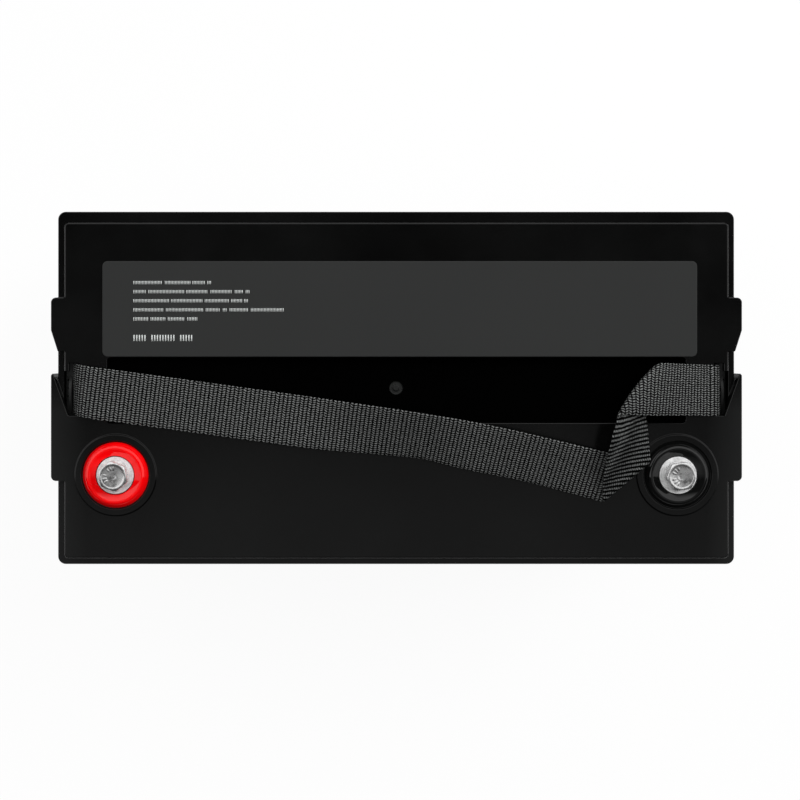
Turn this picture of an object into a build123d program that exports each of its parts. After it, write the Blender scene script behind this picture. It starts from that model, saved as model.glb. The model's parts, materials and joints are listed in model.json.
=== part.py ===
"""Deep cycle battery: a 12.8 V lithium iron phosphate block with a webbing carry strap.

Millimetres, +Z up. The origin is the centre of the base, +X runs to the negative terminal,
and +Y to the long side that the label lies along.
"""

import os
from math import atan2, cos, degrees, radians, sin, sqrt, tan

from build123d import *

os.makedirs("parts", exist_ok=True)

# ---------------------------------------------------------------- driving dimensions
# Lid and deck
lid_length = 330.0
lid_width = 172.0
lid_corner = 3.8
deck_height = 212.0
deck_plate = 3.0
deck_corner = 2.0
ledge_drop = 5.0
ledge_end = 4.1
ledge_back = 5.8
ledge_front = 3.6
skirt_height = 8.0
skirt_wall = 1.8
skirt_gap = 0.2
seal_height = 1.0
seal_width = 1.6

# Case
case_rim = 195.0
case_wall = 2.6
case_floor = 3.5
case_draft = 0.2
case_corner = 4.5
foot_width = 14.0
foot_height = 1.0
panel_margin_x = 22.0
panel_low = 30.0
panel_high = 168.0
panel_depth = 0.6

# Ears, the four thick lands at the ends that stiffen the strap wells
ear_reach = 2.4
ear_back = 43.9
ear_front = -45.0
ear_corner = 2.4
ear_foot = 26.0
ear_root = 6.0
ear_bevel = 0.9
back_ear_width = 15.8
back_ear_gap = 5.7
front_ear_gap = 4.8
flank_root = 1.8

# Strap wells and the shallow channel between them
strap_width = 24.4
strap_thickness = 1.5
strap_side_gap = 0.45
strap_centre_y = -0.6
well_inner = 11.3
well_outer = 3.0
well_floor = 198.6
well_wall = 2.6
well_overhang = 6.4
slot_step_x = 4.9
slot_step_y = 4.0
slot_slant = 1.7
slot_slant_start = 7.0
channel_length = 280.0
channel_back = 14.8
channel_front = -16.8
channel_depth = 6.0
gate_radius = 3.2
gate_nub_radius = 1.5

# Terminals
terminal_x = 135.9
terminal_y = -42.0
boss_radius = 19.7
boss_rise = 1.2
pad_depth = 6.0
post_radius = 8.6
post_gap = 0.05
post_proud = 0.4
post_flange = 9.5
post_flange_across = 22.0
post_tail = 12.5
thread_radius = 4.0
thread_depth = 13.5
ring_radius = 16.4
ring_seat = 1.0
ring_crest = 2.2
o_ring_radius = 10.2
o_ring_width = 2.0
o_ring_depth = 1.6

# Bolts and washers
bolt_length = 16.0
bolt_clearance = 0.05
bolt_across = 13.0
bolt_head = 5.3
washer_radius = 9.0
washer_height = 1.6
spring_washer_radius = 6.9
spring_washer_height = 2.0
nut_height = 6.5

# Label
label_length = 287.9
label_width = 46.2
label_x = 1.6
label_y = 38.4
label_thickness = 0.25
label_corner = 2.5

# Strap lie: the two folds, and the gaps between the layers
fold_low_x = 109.0
fold_low_y = -45.6
strap_run_angle = -15.0
strap_cross_angle = 87.0
strap_start_angle = -7.3
fold_gap = 0.4
lie_gap = 0.3
bend_radius = 2.2
terminal_clear = 0.5

# Cells
cell_thickness = 50.0
cell_width = 160.0
cell_height = 118.5
cell_corner = 2.5
cell_count = 4
spacer_thickness = 0.8
cell_pad_offset = 56.0
cell_pad_size = 16.0
cell_pad_height = 3.0
cell_stud_radius = 3.0
cell_stud_height = 10.0
end_plate_thickness = 4.0
end_plate_inset = 6.0
band_thickness = 0.5
band_width = 16.0
busbar_thickness = 2.0
busbar_width = 16.0
small_nut_height = 4.0
small_nut_across = 10.0
foam_floor = 3.0
foam_side_gap = 1.5
foam_top_level = 140.0

# Battery management board
tray_thickness = 2.0
tray_front = -32.0
tray_back = 76.0
tray_length = 290.0
sink_length = 130.0
sink_width = 76.0
sink_height = 6.0
sink_y = 12.0
sink_fin_count = 9
board_thickness = 1.6
board_standoff = 4.0
screw_radius = 1.5
mosfet_count = 10
cable_radius = 4.0
lug_thickness = 2.0
lug_barrel = 20.0
lug_barrel_radius = 5.0
lug_wall = 6.0
lead_radius = 0.7

# ---------------------------------------------------------------- derived levels and places
ledge_level = deck_height - ledge_drop
deck_under = deck_height - deck_plate
lid_shoulder = case_rim + seal_height
skirt_bottom = case_rim - skirt_height
case_length = lid_length - 2 * (skirt_wall + skirt_gap)
case_width = lid_width - 2 * (skirt_wall + skirt_gap)
draft_loss = case_rim * tan(radians(case_draft))
base_length = case_length - 2 * draft_loss
base_width = case_width - 2 * draft_loss
room_length = base_length - 2 * case_wall
room_width = base_width - 2 * case_wall
lid_end = lid_length / 2
deck_end = lid_end - ledge_end
deck_back = lid_width / 2 - ledge_back
deck_front = ledge_front - lid_width / 2
ear_end = lid_end + ear_reach
slot_width = strap_width + 2 * strap_side_gap
slot_back = strap_centre_y + slot_width / 2
slot_front = strap_centre_y - slot_width / 2
slot_inner = lid_end - well_inner
slot_outer = lid_end - well_outer
boss_top = deck_height + boss_rise
pad_bottom = deck_height - pad_depth
post_top = deck_height + post_proud
flange_bottom = pad_bottom - post_flange
tail_bottom = flange_bottom - post_tail
head_bottom = post_top + washer_height + spring_washer_height
cell_base = case_floor + foam_floor
cell_top = cell_base + cell_height
cell_pitch = cell_thickness + spacer_thickness
stack_length = cell_count * cell_pitch - spacer_thickness
plates_length = stack_length + 2 * end_plate_thickness
busbar_level = cell_top + cell_pad_height
tray_top = foam_top_level + tray_thickness
board_level = tray_top + sink_height + board_standoff
strap_face = slot_inner + 2.7


def save(part, name):
    """Label a finished piece and write it as one STEP file."""
    part.label = name
    export_step(part, f"parts/{name}.step")


def rounded_rectangle(length, width, radius, centre_y=0.0):
    """A rounded rectangle in the current sketch, centred on X = 0."""
    with Locations((0, centre_y)):
        RectangleRounded(length, width, radius)


def deck_rectangle(inset, radius):
    """The deck's outline in the current sketch, set in by a margin on every side."""
    width = deck_back - deck_front - 2 * inset
    rounded_rectangle(2 * (deck_end - inset), width, radius, (deck_back + deck_front) / 2)


def mirrored(points, side):
    """Points of the right-hand end, or their mirror image for the left-hand end."""
    return [(side * x, y) for x, y in points]


def back_ear(reach):
    """Plan of the ear behind the strap well, out to the given reach past the lid's end."""
    tip = lid_end + reach
    return [
        (deck_end - ear_root, ear_back),
        (tip, ear_back),
        (tip, ear_back - back_ear_width),
        (lid_end - ear_bevel, slot_back + back_ear_gap),
        (deck_end - ear_root, slot_back + back_ear_gap),
    ]


def front_ear(reach):
    """Plan of the ear in front of the strap well, whose inner flank runs back to the slot."""
    tip = lid_end + reach
    return [
        (deck_end - ear_root, ear_front),
        (tip, ear_front),
        (tip, slot_back - front_ear_gap - 1.0),
        (tip - ear_bevel, slot_back - front_ear_gap),
        (deck_end - flank_root, slot_front),
        (deck_end - ear_root, slot_front),
    ]


def notch():
    """Plan of the strap slot and of the gap between the ears that it opens into."""
    return [
        (slot_inner, slot_front),
        (slot_inner, slot_back),
        (slot_inner + slot_step_x, slot_back),
        (slot_inner + slot_step_x, slot_back - slot_step_y),
        (slot_inner + slot_slant_start, slot_back - slot_step_y),
        (slot_inner + slot_slant_start + slot_slant, slot_back - slot_step_y + slot_slant),
        (lid_end - ear_bevel, slot_back + back_ear_gap),
        (ear_end + 9, slot_back + back_ear_gap),
        (ear_end + 9, slot_back - front_ear_gap),
        (ear_end - ear_bevel, slot_back - front_ear_gap),
        (deck_end - flank_root, slot_front),
    ]


def ears(reach, side):
    """Both ears of one end, as faces in the current sketch, with rounded outer corners."""
    for outline, corner_y in ((back_ear(reach), ear_back), (front_ear(reach), ear_front)):
        with BuildSketch(mode=Mode.PRIVATE) as ear:
            with BuildLine():
                Polyline(*mirrored(outline, side), close=True)
            make_face()
            corners = ear.vertices().filter_by(
                lambda v: abs(v.Y - corner_y) < 0.01 and abs(v.X) > lid_end
            )
            fillet(corners, min(ear_corner, 0.9 * (reach + ledge_end)))
        add(ear.sketch)


def at_terminals():
    """The centres of the positive and the negative terminal."""
    return Locations((-terminal_x, terminal_y), (terminal_x, terminal_y))


# ---------------------------------------------------------------- case
with BuildPart() as case:
    with BuildSketch():
        rounded_rectangle(base_length, base_width, case_corner)
    extrude(amount=case_rim, taper=-case_draft)
    fillet(case.faces().sort_by(Axis.Z)[0].edges(), 1.2)
    # Lands under the lid's ears, run out into the wall by a slope
    for side in (-1, 1):
        with BuildPart(mode=Mode.PRIVATE) as land:
            with BuildSketch(Plane.XY.offset(skirt_bottom - ear_foot)):
                ears(ear_reach - 0.2, side)
            extrude(amount=ear_foot - 0.4)
            slope_end = side * (lid_end + ear_reach + 1)
            with BuildSketch(Plane.XZ.offset(-lid_width)):
                with BuildLine():
                    Polyline(
                        (side * base_length / 2, skirt_bottom - ear_foot - 1),
                        (slope_end, skirt_bottom - ear_foot - 1),
                        (slope_end, skirt_bottom - ear_foot / 3),
                        close=True,
                    )
                make_face()
            extrude(amount=2 * lid_width, mode=Mode.SUBTRACT)
        add(land.part)
    # Room for the cells
    with BuildSketch(Plane.XY.offset(case_floor)):
        rounded_rectangle(room_length, room_width, case_corner - case_wall / 2)
    extrude(amount=case_rim, mode=Mode.SUBTRACT)
    # Foot rim under the floor
    with BuildSketch():
        rounded_rectangle(base_length - 2 * foot_width, base_width - 2 * foot_width, case_corner)
    extrude(amount=foot_height, mode=Mode.SUBTRACT)
    # Shallow bare panels on the two long sides
    for side in (-1, 1):
        with BuildSketch(Plane.XZ.offset(-side * (base_width / 2 - panel_depth))):
            with Locations((0, (panel_low + panel_high) / 2)):
                RectangleRounded(base_length - 2 * panel_margin_x, panel_high - panel_low, 4)
        extrude(amount=-side * 5, mode=Mode.SUBTRACT)
save(case.part, "case")

# ---------------------------------------------------------------- lid
with BuildPart() as lid:
    with BuildSketch(Plane.XY.offset(skirt_bottom)):
        rounded_rectangle(lid_length, lid_width, lid_corner)
    extrude(amount=ledge_level - skirt_bottom)
    fillet(lid.faces().sort_by(Axis.Z)[-1].edges(), 0.5)
    with BuildSketch(Plane.XY.offset(ledge_level)) as deck_outline:
        deck_rectangle(0, deck_corner)
    extrude(amount=ledge_drop)
    chamfer(lid.faces().sort_by(Axis.Z)[-1].edges(), 0.4)
    for side in (-1, 1):
        with BuildPart(mode=Mode.PRIVATE) as land:
            with BuildSketch(Plane.XY.offset(skirt_bottom)):
                ears(ear_reach, side)
            extrude(amount=deck_height - skirt_bottom)
        add(land.part)
    with BuildSketch(Plane.XY.offset(skirt_bottom)):
        rounded_rectangle(case_length + 2 * skirt_gap, case_width + 2 * skirt_gap, case_corner)
    extrude(amount=lid_shoulder - skirt_bottom, mode=Mode.SUBTRACT)
    with BuildSketch(Plane.XY.offset(lid_shoulder)):
        rounded_rectangle(room_length, room_width, case_corner - case_wall / 2)
    extrude(amount=ledge_level - deck_plate - lid_shoulder, mode=Mode.SUBTRACT)
    with BuildSketch(Plane.XY.offset(ledge_level - deck_plate)):
        deck_rectangle(deck_plate, deck_corner)
    extrude(amount=ledge_drop, mode=Mode.SUBTRACT)
    # Pan under the strap channel
    channel_width = channel_back - channel_front
    channel_mid = (channel_back + channel_front) / 2
    pan_bottom = deck_height - channel_depth - deck_plate
    with BuildSketch(Plane.XY.offset(pan_bottom)):
        with Locations((0, channel_mid)):
            Rectangle(channel_length + 2 * deck_plate, channel_width + 2 * deck_plate)
    extrude(amount=deck_under - pan_bottom)
    # Stiffening ribs under the rear half of the deck
    with BuildSketch(Plane.XY.offset(deck_under - 7)):
        with Locations((0, (channel_back + deck_back) / 2)):
            with GridLocations(channel_length / 4, 1, 3, 1):
                Rectangle(2, deck_back - channel_back - 1)
    extrude(amount=7)
    # Strap wells
    well_back = slot_back + well_overhang
    well_front = slot_front - well_overhang
    well_mid = (well_back + well_front) / 2
    well_x = (slot_inner - 1.0 + slot_outer) / 2
    well_length = slot_outer - slot_inner + 1.0
    for side in (-1, 1):
        with BuildSketch(Plane.XY.offset(lid_shoulder)):
            with Locations((side * (well_x - well_wall / 2), well_mid)):
                Rectangle(well_length + well_wall, well_back - well_front + 2 * well_wall)
        extrude(amount=deck_under - lid_shoulder)
        with BuildSketch(Plane.XY.offset(well_floor)):
            with Locations((side * well_x, well_mid)):
                Rectangle(well_length, well_back - well_front)
        extrude(amount=deck_under - well_floor, mode=Mode.SUBTRACT)
        with BuildSketch(Plane.XY.offset(ledge_level)):
            with BuildLine():
                Polyline(*mirrored(notch(), side), close=True)
            make_face()
        extrude(amount=ledge_drop, mode=Mode.SUBTRACT)
    # Strap channel and the moulding gate in its floor
    with BuildSketch(Plane.XY.offset(deck_height - channel_depth)):
        with Locations((0, channel_mid)):
            RectangleRounded(channel_length, channel_width, 1.5)
    extrude(amount=channel_depth, mode=Mode.SUBTRACT)
    with BuildSketch(Plane.XY.offset(deck_height - channel_depth - 0.8)):
        Circle(gate_radius)
    extrude(amount=0.8, mode=Mode.SUBTRACT)
    with BuildSketch(Plane.XY.offset(deck_height - channel_depth - 0.8)):
        Circle(gate_nub_radius)
    extrude(amount=1.4)
    # Terminal bosses, their pads, the seats for the rings and posts
    with BuildSketch(Plane.XY.offset(pad_bottom)):
        with at_terminals():
            Circle(boss_radius)
    extrude(amount=boss_top - pad_bottom)
    with BuildSketch(Plane.XY.offset(boss_top - ring_seat)):
        with at_terminals():
            Circle(ring_radius + post_gap)
    extrude(amount=ring_seat, mode=Mode.SUBTRACT)
    with BuildSketch(Plane.XY.offset(pad_bottom)):
        with at_terminals():
            Circle(post_radius + post_gap)
    extrude(amount=boss_top - pad_bottom, mode=Mode.SUBTRACT)
    with BuildSketch(Plane.XY.offset(pad_bottom)):
        with at_terminals():
            Circle(o_ring_radius + o_ring_width / 2)
            Circle(o_ring_radius - o_ring_width / 2, mode=Mode.SUBTRACT)
    extrude(amount=o_ring_depth, mode=Mode.SUBTRACT)
save(lid.part, "lid")

with BuildPart() as lid_seal:
    seal_inset = (case_length - room_length) / 4
    with BuildSketch(Plane.XY.offset(case_rim)):
        inner_length = case_length - 2 * seal_inset - seal_width
        inner_width = case_width - 2 * seal_inset - seal_width
        rounded_rectangle(inner_length + 2 * seal_width, inner_width + 2 * seal_width, case_corner)
        with Locations((0, 0)):
            RectangleRounded(inner_length, inner_width, case_corner - 1, mode=Mode.SUBTRACT)
    extrude(amount=seal_height)
save(lid_seal.part, "lid_seal")

with BuildPart() as label:
    with BuildSketch(Plane.XY.offset(deck_height)):
        with Locations((label_x, label_y)):
            RectangleRounded(label_length, label_width, label_corner)
    extrude(amount=label_thickness)
save(label.part, "label")

# ---------------------------------------------------------------- terminals
for name, side in (("positive", -1), ("negative", 1)):
    centre = (side * terminal_x, terminal_y)
    with BuildPart() as post:
        with BuildSketch(Plane.XY.offset(tail_bottom)):
            with Locations(centre):
                Circle(thread_radius)
        extrude(amount=post_tail)
        with BuildSketch(Plane.XY.offset(flange_bottom)):
            with Locations(centre):
                RegularPolygon(post_flange_across / 2, 6, major_radius=False)
        extrude(amount=post_flange)
        with BuildSketch(Plane.XY.offset(pad_bottom)):
            with Locations(centre):
                Circle(post_radius)
        extrude(amount=post_top - pad_bottom)
        with BuildSketch(Plane.XY.offset(post_top - thread_depth)):
            with Locations(centre):
                Circle(thread_radius)
        extrude(amount=thread_depth, mode=Mode.SUBTRACT)
    save(post.part, f"terminal_post_{name}")

    with BuildPart() as ring:
        with BuildSketch(Plane.XZ):
            with BuildLine():
                low = boss_top - ring_seat
                inner = washer_radius + 0.4
                shoulder = (ring_radius, boss_top + 0.6)
                crest = (ring_radius - 1.9, boss_top + ring_crest)
                dip = (ring_radius - 3.4, boss_top + ring_crest - 0.3)
                Polyline((inner, low + 0.7), (inner, low), (ring_radius, low), shoulder)
                TangentArc(shoulder, crest, tangent=(0, 1))
                Spline(crest, dip, tangents=[(-1, 0), (-1, -0.55)])
                Line(dip, (inner, low + 0.7))
            make_face()
        revolve(axis=Axis.Z)
    ring_part = ring.part.moved(Location((*centre, 0)))
    save(ring_part, f"terminal_ring_{name}")

    with BuildPart() as washer:
        with BuildSketch(Plane.XY.offset(post_top)):
            with Locations(centre):
                Circle(washer_radius)
                Circle(thread_radius + 0.2, mode=Mode.SUBTRACT)
        extrude(amount=washer_height)
        chamfer(washer.faces().sort_by(Axis.Z)[-1].edges().sort_by(SortBy.LENGTH)[-1], 0.3)
    save(washer.part, f"flat_washer_{name}")

    with BuildPart() as spring_washer:
        with BuildSketch(Plane.XY.offset(post_top + washer_height)):
            with Locations(centre):
                Circle(spring_washer_radius)
                Circle(thread_radius + 0.2, mode=Mode.SUBTRACT)
            with Locations((centre[0], centre[1] - spring_washer_radius)):
                Rectangle(0.8, 2 * spring_washer_radius - 2, mode=Mode.SUBTRACT)
        extrude(amount=spring_washer_height)
    save(spring_washer.part, f"spring_washer_{name}")

    hex_turn = 9.5 if side < 0 else 38.0
    with BuildPart() as bolt:
        with BuildSketch(Plane.XY.offset(head_bottom)):
            with Locations(centre):
                RegularPolygon(bolt_across / 2, 6, major_radius=False, rotation=hex_turn)
        extrude(amount=bolt_head)
        # The cone that takes the corners off the top of the hexagon
        with BuildPart(mode=Mode.PRIVATE) as cone:
            with BuildSketch(Plane.XY.offset(head_bottom)):
                with Locations(centre):
                    Circle(bolt_across / 2 * 0.98 + bolt_head / tan(radians(30)))
            extrude(amount=bolt_head, taper=60)
        add(cone.part, mode=Mode.INTERSECT)
        with BuildSketch(Plane.XY.offset(head_bottom + bolt_head - 0.4)):
            with Locations(centre):
                Circle(bolt_across / 2 - 1.9)
        extrude(amount=0.4, mode=Mode.SUBTRACT)
        with BuildSketch(Plane.XY.offset(head_bottom - bolt_length)):
            with Locations(centre):
                Circle(thread_radius - bolt_clearance)
        extrude(amount=bolt_length)
        chamfer(bolt.faces().sort_by(Axis.Z)[0].edges(), 0.8)
    save(bolt.part, f"terminal_bolt_{name}")

with BuildPart() as o_rings:
    with BuildSketch(Plane.XY.offset(pad_bottom)):
        with at_terminals():
            Circle(o_ring_radius + o_ring_width / 2)
            Circle(o_ring_radius - o_ring_width / 2, mode=Mode.SUBTRACT)
    extrude(amount=o_ring_depth)
save(o_rings.part, "terminal_o_rings")

with BuildPart() as post_nuts:
    with BuildSketch(Plane.XY.offset(flange_bottom - lug_thickness - nut_height)):
        with at_terminals():
            RegularPolygon(bolt_across / 2, 6, major_radius=False)
            Circle(thread_radius, mode=Mode.SUBTRACT)
    extrude(amount=nut_height)
save(post_nuts.part, "terminal_nuts")

# ---------------------------------------------------------------- carry strap
low_layer = boss_top + lie_gap
cross_layer = low_layer + strap_thickness + fold_gap
top_layer = cross_layer + strap_thickness + fold_gap
rest_layer = deck_height + lie_gap
well_z = well_floor + 0.3
strap_end_z = well_z + 2.3
fold_low_angle = (strap_run_angle + strap_cross_angle) / 2
fold_high_angle = strap_cross_angle / 2
fold_high_y = strap_centre_y
fold_high_x = fold_low_x + (fold_high_y - fold_low_y) / tan(radians(strap_cross_angle))


def polar(x, y, length, angle):
    """A point at a distance and an angle in degrees from another."""
    return (x + length * cos(radians(angle)), y + length * sin(radians(angle)))


def crease_half(crease_angle, run_angle):
    """Half the length of a crease that crosses the whole strap at an angle to its run."""
    return strap_width / 2 / abs(sin(radians(crease_angle - run_angle)))


def crease_ends(x, y, crease_angle, run_angle):
    """The two ends of a crease, given its middle."""
    half = crease_half(crease_angle, run_angle)
    return polar(x, y, -half, crease_angle), polar(x, y, half, crease_angle)


low_crease = crease_ends(fold_low_x, fold_low_y, fold_low_angle, strap_run_angle)
high_crease = crease_ends(fold_high_x, fold_high_y, fold_high_angle, strap_cross_angle)


def side_profile(side, layer, ramp_start, ramp_end, stop):
    """Side view of a strap end: up out of its slot, over a bend, along the deck, up a ramp."""
    outer = strap_face + strap_thickness
    turn = rest_layer - bend_radius
    centre_x = strap_face - bend_radius
    over = rest_layer + strap_thickness
    outside = [
        (outer, strap_end_z),
        (outer, turn),
        (centre_x, over),
        (ramp_start, over),
        (ramp_end, layer + strap_thickness),
        (stop, layer + strap_thickness),
    ]
    inside = [
        (stop, layer),
        (ramp_end, layer),
        (ramp_start, rest_layer),
        (centre_x, rest_layer),
        (strap_face, turn),
        (strap_face, strap_end_z),
    ]
    outside = mirrored(outside, side)
    inside = mirrored(inside, side)
    with BuildSketch(mode=Mode.PRIVATE) as profile:
        with BuildLine():
            Line(outside[0], outside[1])
            JernArc(outside[1], (0, 1), bend_radius + strap_thickness, side * 90)
            Polyline(*outside[2:], *inside[:4])
            JernArc(inside[3], (side, 0), bend_radius, -side * 90)
            Polyline(inside[4], inside[5], outside[0])
        make_face()
    add(profile.sketch)


def fold(crease, level):
    """Half a tube along a crease that joins two layers of the strap, on the crease's outer side."""
    start, end = crease
    angle = degrees(atan2(end[1] - start[1], end[0] - start[0]))
    middle = level + strap_thickness + fold_gap / 2
    outer = strap_thickness + fold_gap / 2
    length = sqrt((end[0] - start[0]) ** 2 + (end[1] - start[1]) ** 2)
    plane = Plane(
        origin=(*start, middle),
        x_dir=(sin(radians(angle)), -cos(radians(angle)), 0),
        z_dir=(cos(radians(angle)), sin(radians(angle)), 0),
    )
    return plane, outer, length


with BuildPart() as strap:
    # From the left slot to the lower fold, a gently curved run in plan
    start = (-strap_face - strap_thickness, strap_centre_y)
    third = (fold_low_x - start[0]) / 3
    run_points = [
        start,
        polar(*start, third, strap_start_angle),
        polar(fold_low_x, fold_low_y, -third, strap_run_angle),
        (fold_low_x, fold_low_y),
    ]
    with BuildLine(mode=Mode.PRIVATE) as run:
        Bezier(*run_points)
    edge_steps = [i / 12 for i in range(13)]
    half = strap_width / 2
    run_edges = []
    for hand in (-1, 1):
        edge = []
        for step in edge_steps:
            place = run.edges()[0] @ step
            along = run.edges()[0] % step
            edge.append((place.X - hand * half * along.Y, place.Y + hand * half * along.X))
        run_edges.append(edge)
    front_edge, back_edge = run_edges
    with BuildPart(mode=Mode.PRIVATE) as low_run:
        with BuildSketch(Plane.XZ.offset(-lid_width / 2)):
            side_profile(-1, low_layer, -fold_low_x / 3, -fold_low_x * 0.8, -fold_low_x - 20)
        extrude(amount=lid_width)
        with BuildSketch(Plane.XY.offset(strap_end_z)):
            with BuildLine():
                Spline(*front_edge[:-1])
                Line(front_edge[-2], low_crease[0])
                Line(low_crease[0], low_crease[1])
                Line(low_crease[1], back_edge[-3])
                Spline(*back_edge[:-2])
                Line(front_edge[0], back_edge[0])
            make_face()
        extrude(amount=deck_height, mode=Mode.INTERSECT)
    add(low_run.part)
    # Across, turned over
    with BuildSketch(Plane.XY.offset(cross_layer)):
        with BuildLine():
            Polyline(low_crease[0], low_crease[1], high_crease[1], high_crease[0], close=True)
        make_face()
    extrude(amount=strap_thickness)
    # From the upper fold to the right slot
    with BuildPart(mode=Mode.PRIVATE) as top_run:
        with BuildSketch(Plane.XZ.offset(-lid_width / 2)):
            side_profile(1, top_layer, slot_inner - 3, slot_inner - 22, fold_high_x - 20)
        extrude(amount=lid_width)
        with BuildSketch(Plane.XY.offset(strap_end_z)):
            far = strap_face + strap_thickness
            with BuildLine():
                Polyline(
                    high_crease[0],
                    (far, fold_high_y - half),
                    (far, fold_high_y + half),
                    high_crease[1],
                    close=True,
                )
            make_face()
        extrude(amount=deck_height, mode=Mode.INTERSECT)
    add(top_run.part)
    for crease, level, turn in ((low_crease, low_layer, 1), (high_crease, cross_layer, -1)):
        plane, outer, length = fold(crease, level)
        with BuildSketch(plane):
            Circle(outer)
            Circle(fold_gap / 2, mode=Mode.SUBTRACT)
            with Locations((-turn * outer, 0)):
                Rectangle(2 * outer, 2 * outer, mode=Mode.SUBTRACT)
        extrude(amount=length)
    # Clear of the ring and bolt of the negative terminal
    with BuildSketch(Plane.XY.offset(deck_height)):
        with Locations((terminal_x, terminal_y)):
            Circle(ring_radius + terminal_clear)
    extrude(amount=deck_height, mode=Mode.SUBTRACT)
save(strap.part, "strap")

for name, side in (("left", -1), ("right", 1)):
    with BuildPart() as anchor:
        bar_inner = slot_inner + 0.6
        bar_outer = slot_outer - 0.6
        bar_length = well_back - well_front - 0.8
        bar_height = 5.2
        neck_back = slot_back - 0.3
        neck_front = slot_front + 0.3
        with BuildSketch(Plane.XY.offset(well_z)):
            with Locations((side * (bar_inner + bar_outer) / 2, well_mid)):
                RectangleRounded(bar_outer - bar_inner, bar_length, 1.5)
        extrude(amount=bar_height)
        fillet(anchor.faces().sort_by(Axis.Z)[0].edges(), 0.8)
        # Neck that the webbing is moulded into
        neck_outer = strap_face + strap_thickness + 0.1
        with BuildSketch(Plane.XY.offset(well_z + bar_height - 1)):
            with Locations((side * (bar_inner + neck_outer) / 2, (neck_back + neck_front) / 2)):
                Rectangle(neck_outer - bar_inner, neck_back - neck_front)
        extrude(amount=3.4)
        # Arched lip behind the webbing
        lip_half = (slot_back - 4.6 - slot_front) / 2 - 1.6
        lip_y = (slot_back - 4.6 + slot_front) / 2
        lip_low = well_z + bar_height - 1
        with BuildSketch(Plane.YZ.offset(side * neck_outer)):
            with BuildLine():
                Line((lip_y - lip_half, lip_low), (lip_y + lip_half, lip_low))
                Line((lip_y + lip_half, lip_low), (lip_y + lip_half, lip_low + 3.0))
                ThreePointArc(
                    (lip_y + lip_half, lip_low + 3.0),
                    (lip_y, lip_low + 6.2),
                    (lip_y - lip_half, lip_low + 3.0),
                )
                Line((lip_y - lip_half, lip_low + 3.0), (lip_y - lip_half, lip_low))
            make_face()
        extrude(amount=side * 1.3)
        # Sloped pad with the moulding pin holes, outside the lip and behind the ear's flank
        flank_run = ear_end - ear_bevel - deck_end + flank_root
        flank_slope = (slot_back - front_ear_gap - slot_front) / flank_run
        pad_back = lip_y + lip_half
        pad_front = slot_front + (bar_outer + 0.3 - deck_end + flank_root) * flank_slope
        with BuildSketch(Plane.XZ.offset(-pad_back)):
            with BuildLine():
                Polyline(
                    (side * neck_outer, lip_low),
                    (side * bar_outer, lip_low),
                    (side * bar_outer, lip_low + 1.6),
                    (side * neck_outer, lip_low + 3.4),
                    close=True,
                )
            make_face()
        extrude(amount=pad_back - pad_front)
        with BuildSketch(Plane.XY.offset(lip_low)):
            with Locations((side * (bar_outer - 1.1), (pad_back + pad_front) / 2)):
                with GridLocations(1, (pad_back - pad_front) / 3, 1, 3):
                    Circle(0.5)
        extrude(amount=6, mode=Mode.SUBTRACT)
        add(strap.part, mode=Mode.SUBTRACT)
    save(anchor.part, f"strap_anchor_{name}")

# ---------------------------------------------------------------- cells
cell_xs = [(i - (cell_count - 1) / 2) * cell_pitch for i in range(cell_count)]
pad_ends = [(-1) ** (i + 1) for i in range(cell_count)]

for number, x in enumerate(cell_xs, start=1):
    with BuildPart() as cell:
        with BuildSketch(Plane.XY.offset(cell_base)):
            with Locations((x, 0)):
                RectangleRounded(cell_thickness, cell_width, cell_corner)
        extrude(amount=cell_height)
        # Rim round the top plate, and the safety vent
        with BuildSketch(Plane.XY.offset(cell_top - 0.6)):
            with Locations((x, 0)):
                RectangleRounded(cell_thickness - 2, cell_width - 2, cell_corner)
                SlotOverall(24, 12, rotation=90, mode=Mode.SUBTRACT)
        extrude(amount=0.6, mode=Mode.SUBTRACT)
        with BuildSketch(Plane.XY.offset(cell_top - 1.4)):
            with Locations((x, 0)):
                SlotOverall(20, 8, rotation=90)
        extrude(amount=1.4, mode=Mode.SUBTRACT)
    save(cell.part, f"cell_{number}")

pad_places = [(x, end * cell_pad_offset) for x in cell_xs for end in (-1, 1)]
with BuildPart() as cell_pads:
    with BuildSketch(Plane.XY.offset(cell_top - 0.6)):
        with Locations(*pad_places):
            RectangleRounded(cell_pad_size + 4, cell_pad_size, 2)
    extrude(amount=cell_pad_height + 0.6)
    with BuildSketch(Plane.XY.offset(busbar_level)):
        with Locations(*pad_places):
            Circle(cell_stud_radius)
    extrude(amount=cell_stud_height)
save(cell_pads.part, "cell_terminals")

with BuildPart() as spacers:
    with BuildSketch(Plane.XY.offset(cell_base)):
        with GridLocations(cell_pitch, 1, cell_count - 1, 1):
            Rectangle(spacer_thickness, cell_width - 4)
    extrude(amount=cell_height - 2)
save(spacers.part, "cell_spacers")

with BuildPart() as end_plates:
    with BuildSketch(Plane.XY.offset(cell_base)):
        with GridLocations(stack_length + end_plate_thickness, 1, 2, 1):
            Rectangle(end_plate_thickness, cell_width - 2 * end_plate_inset)
    extrude(amount=cell_height - 4)
    fillet(end_plates.edges().filter_by(Axis.Z), 1.5)
save(end_plates.part, "end_plates")

with BuildPart() as bands:
    for share in (0.25, 0.75):
        with BuildSketch(Plane.XY.offset(cell_base + share * cell_height - band_width / 2)):
            Rectangle(plates_length + 2 * band_thickness, cell_width + 2 * band_thickness)
            Rectangle(plates_length, cell_width, mode=Mode.SUBTRACT)
        extrude(amount=band_width)
save(bands.part, "pack_bands")

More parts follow.
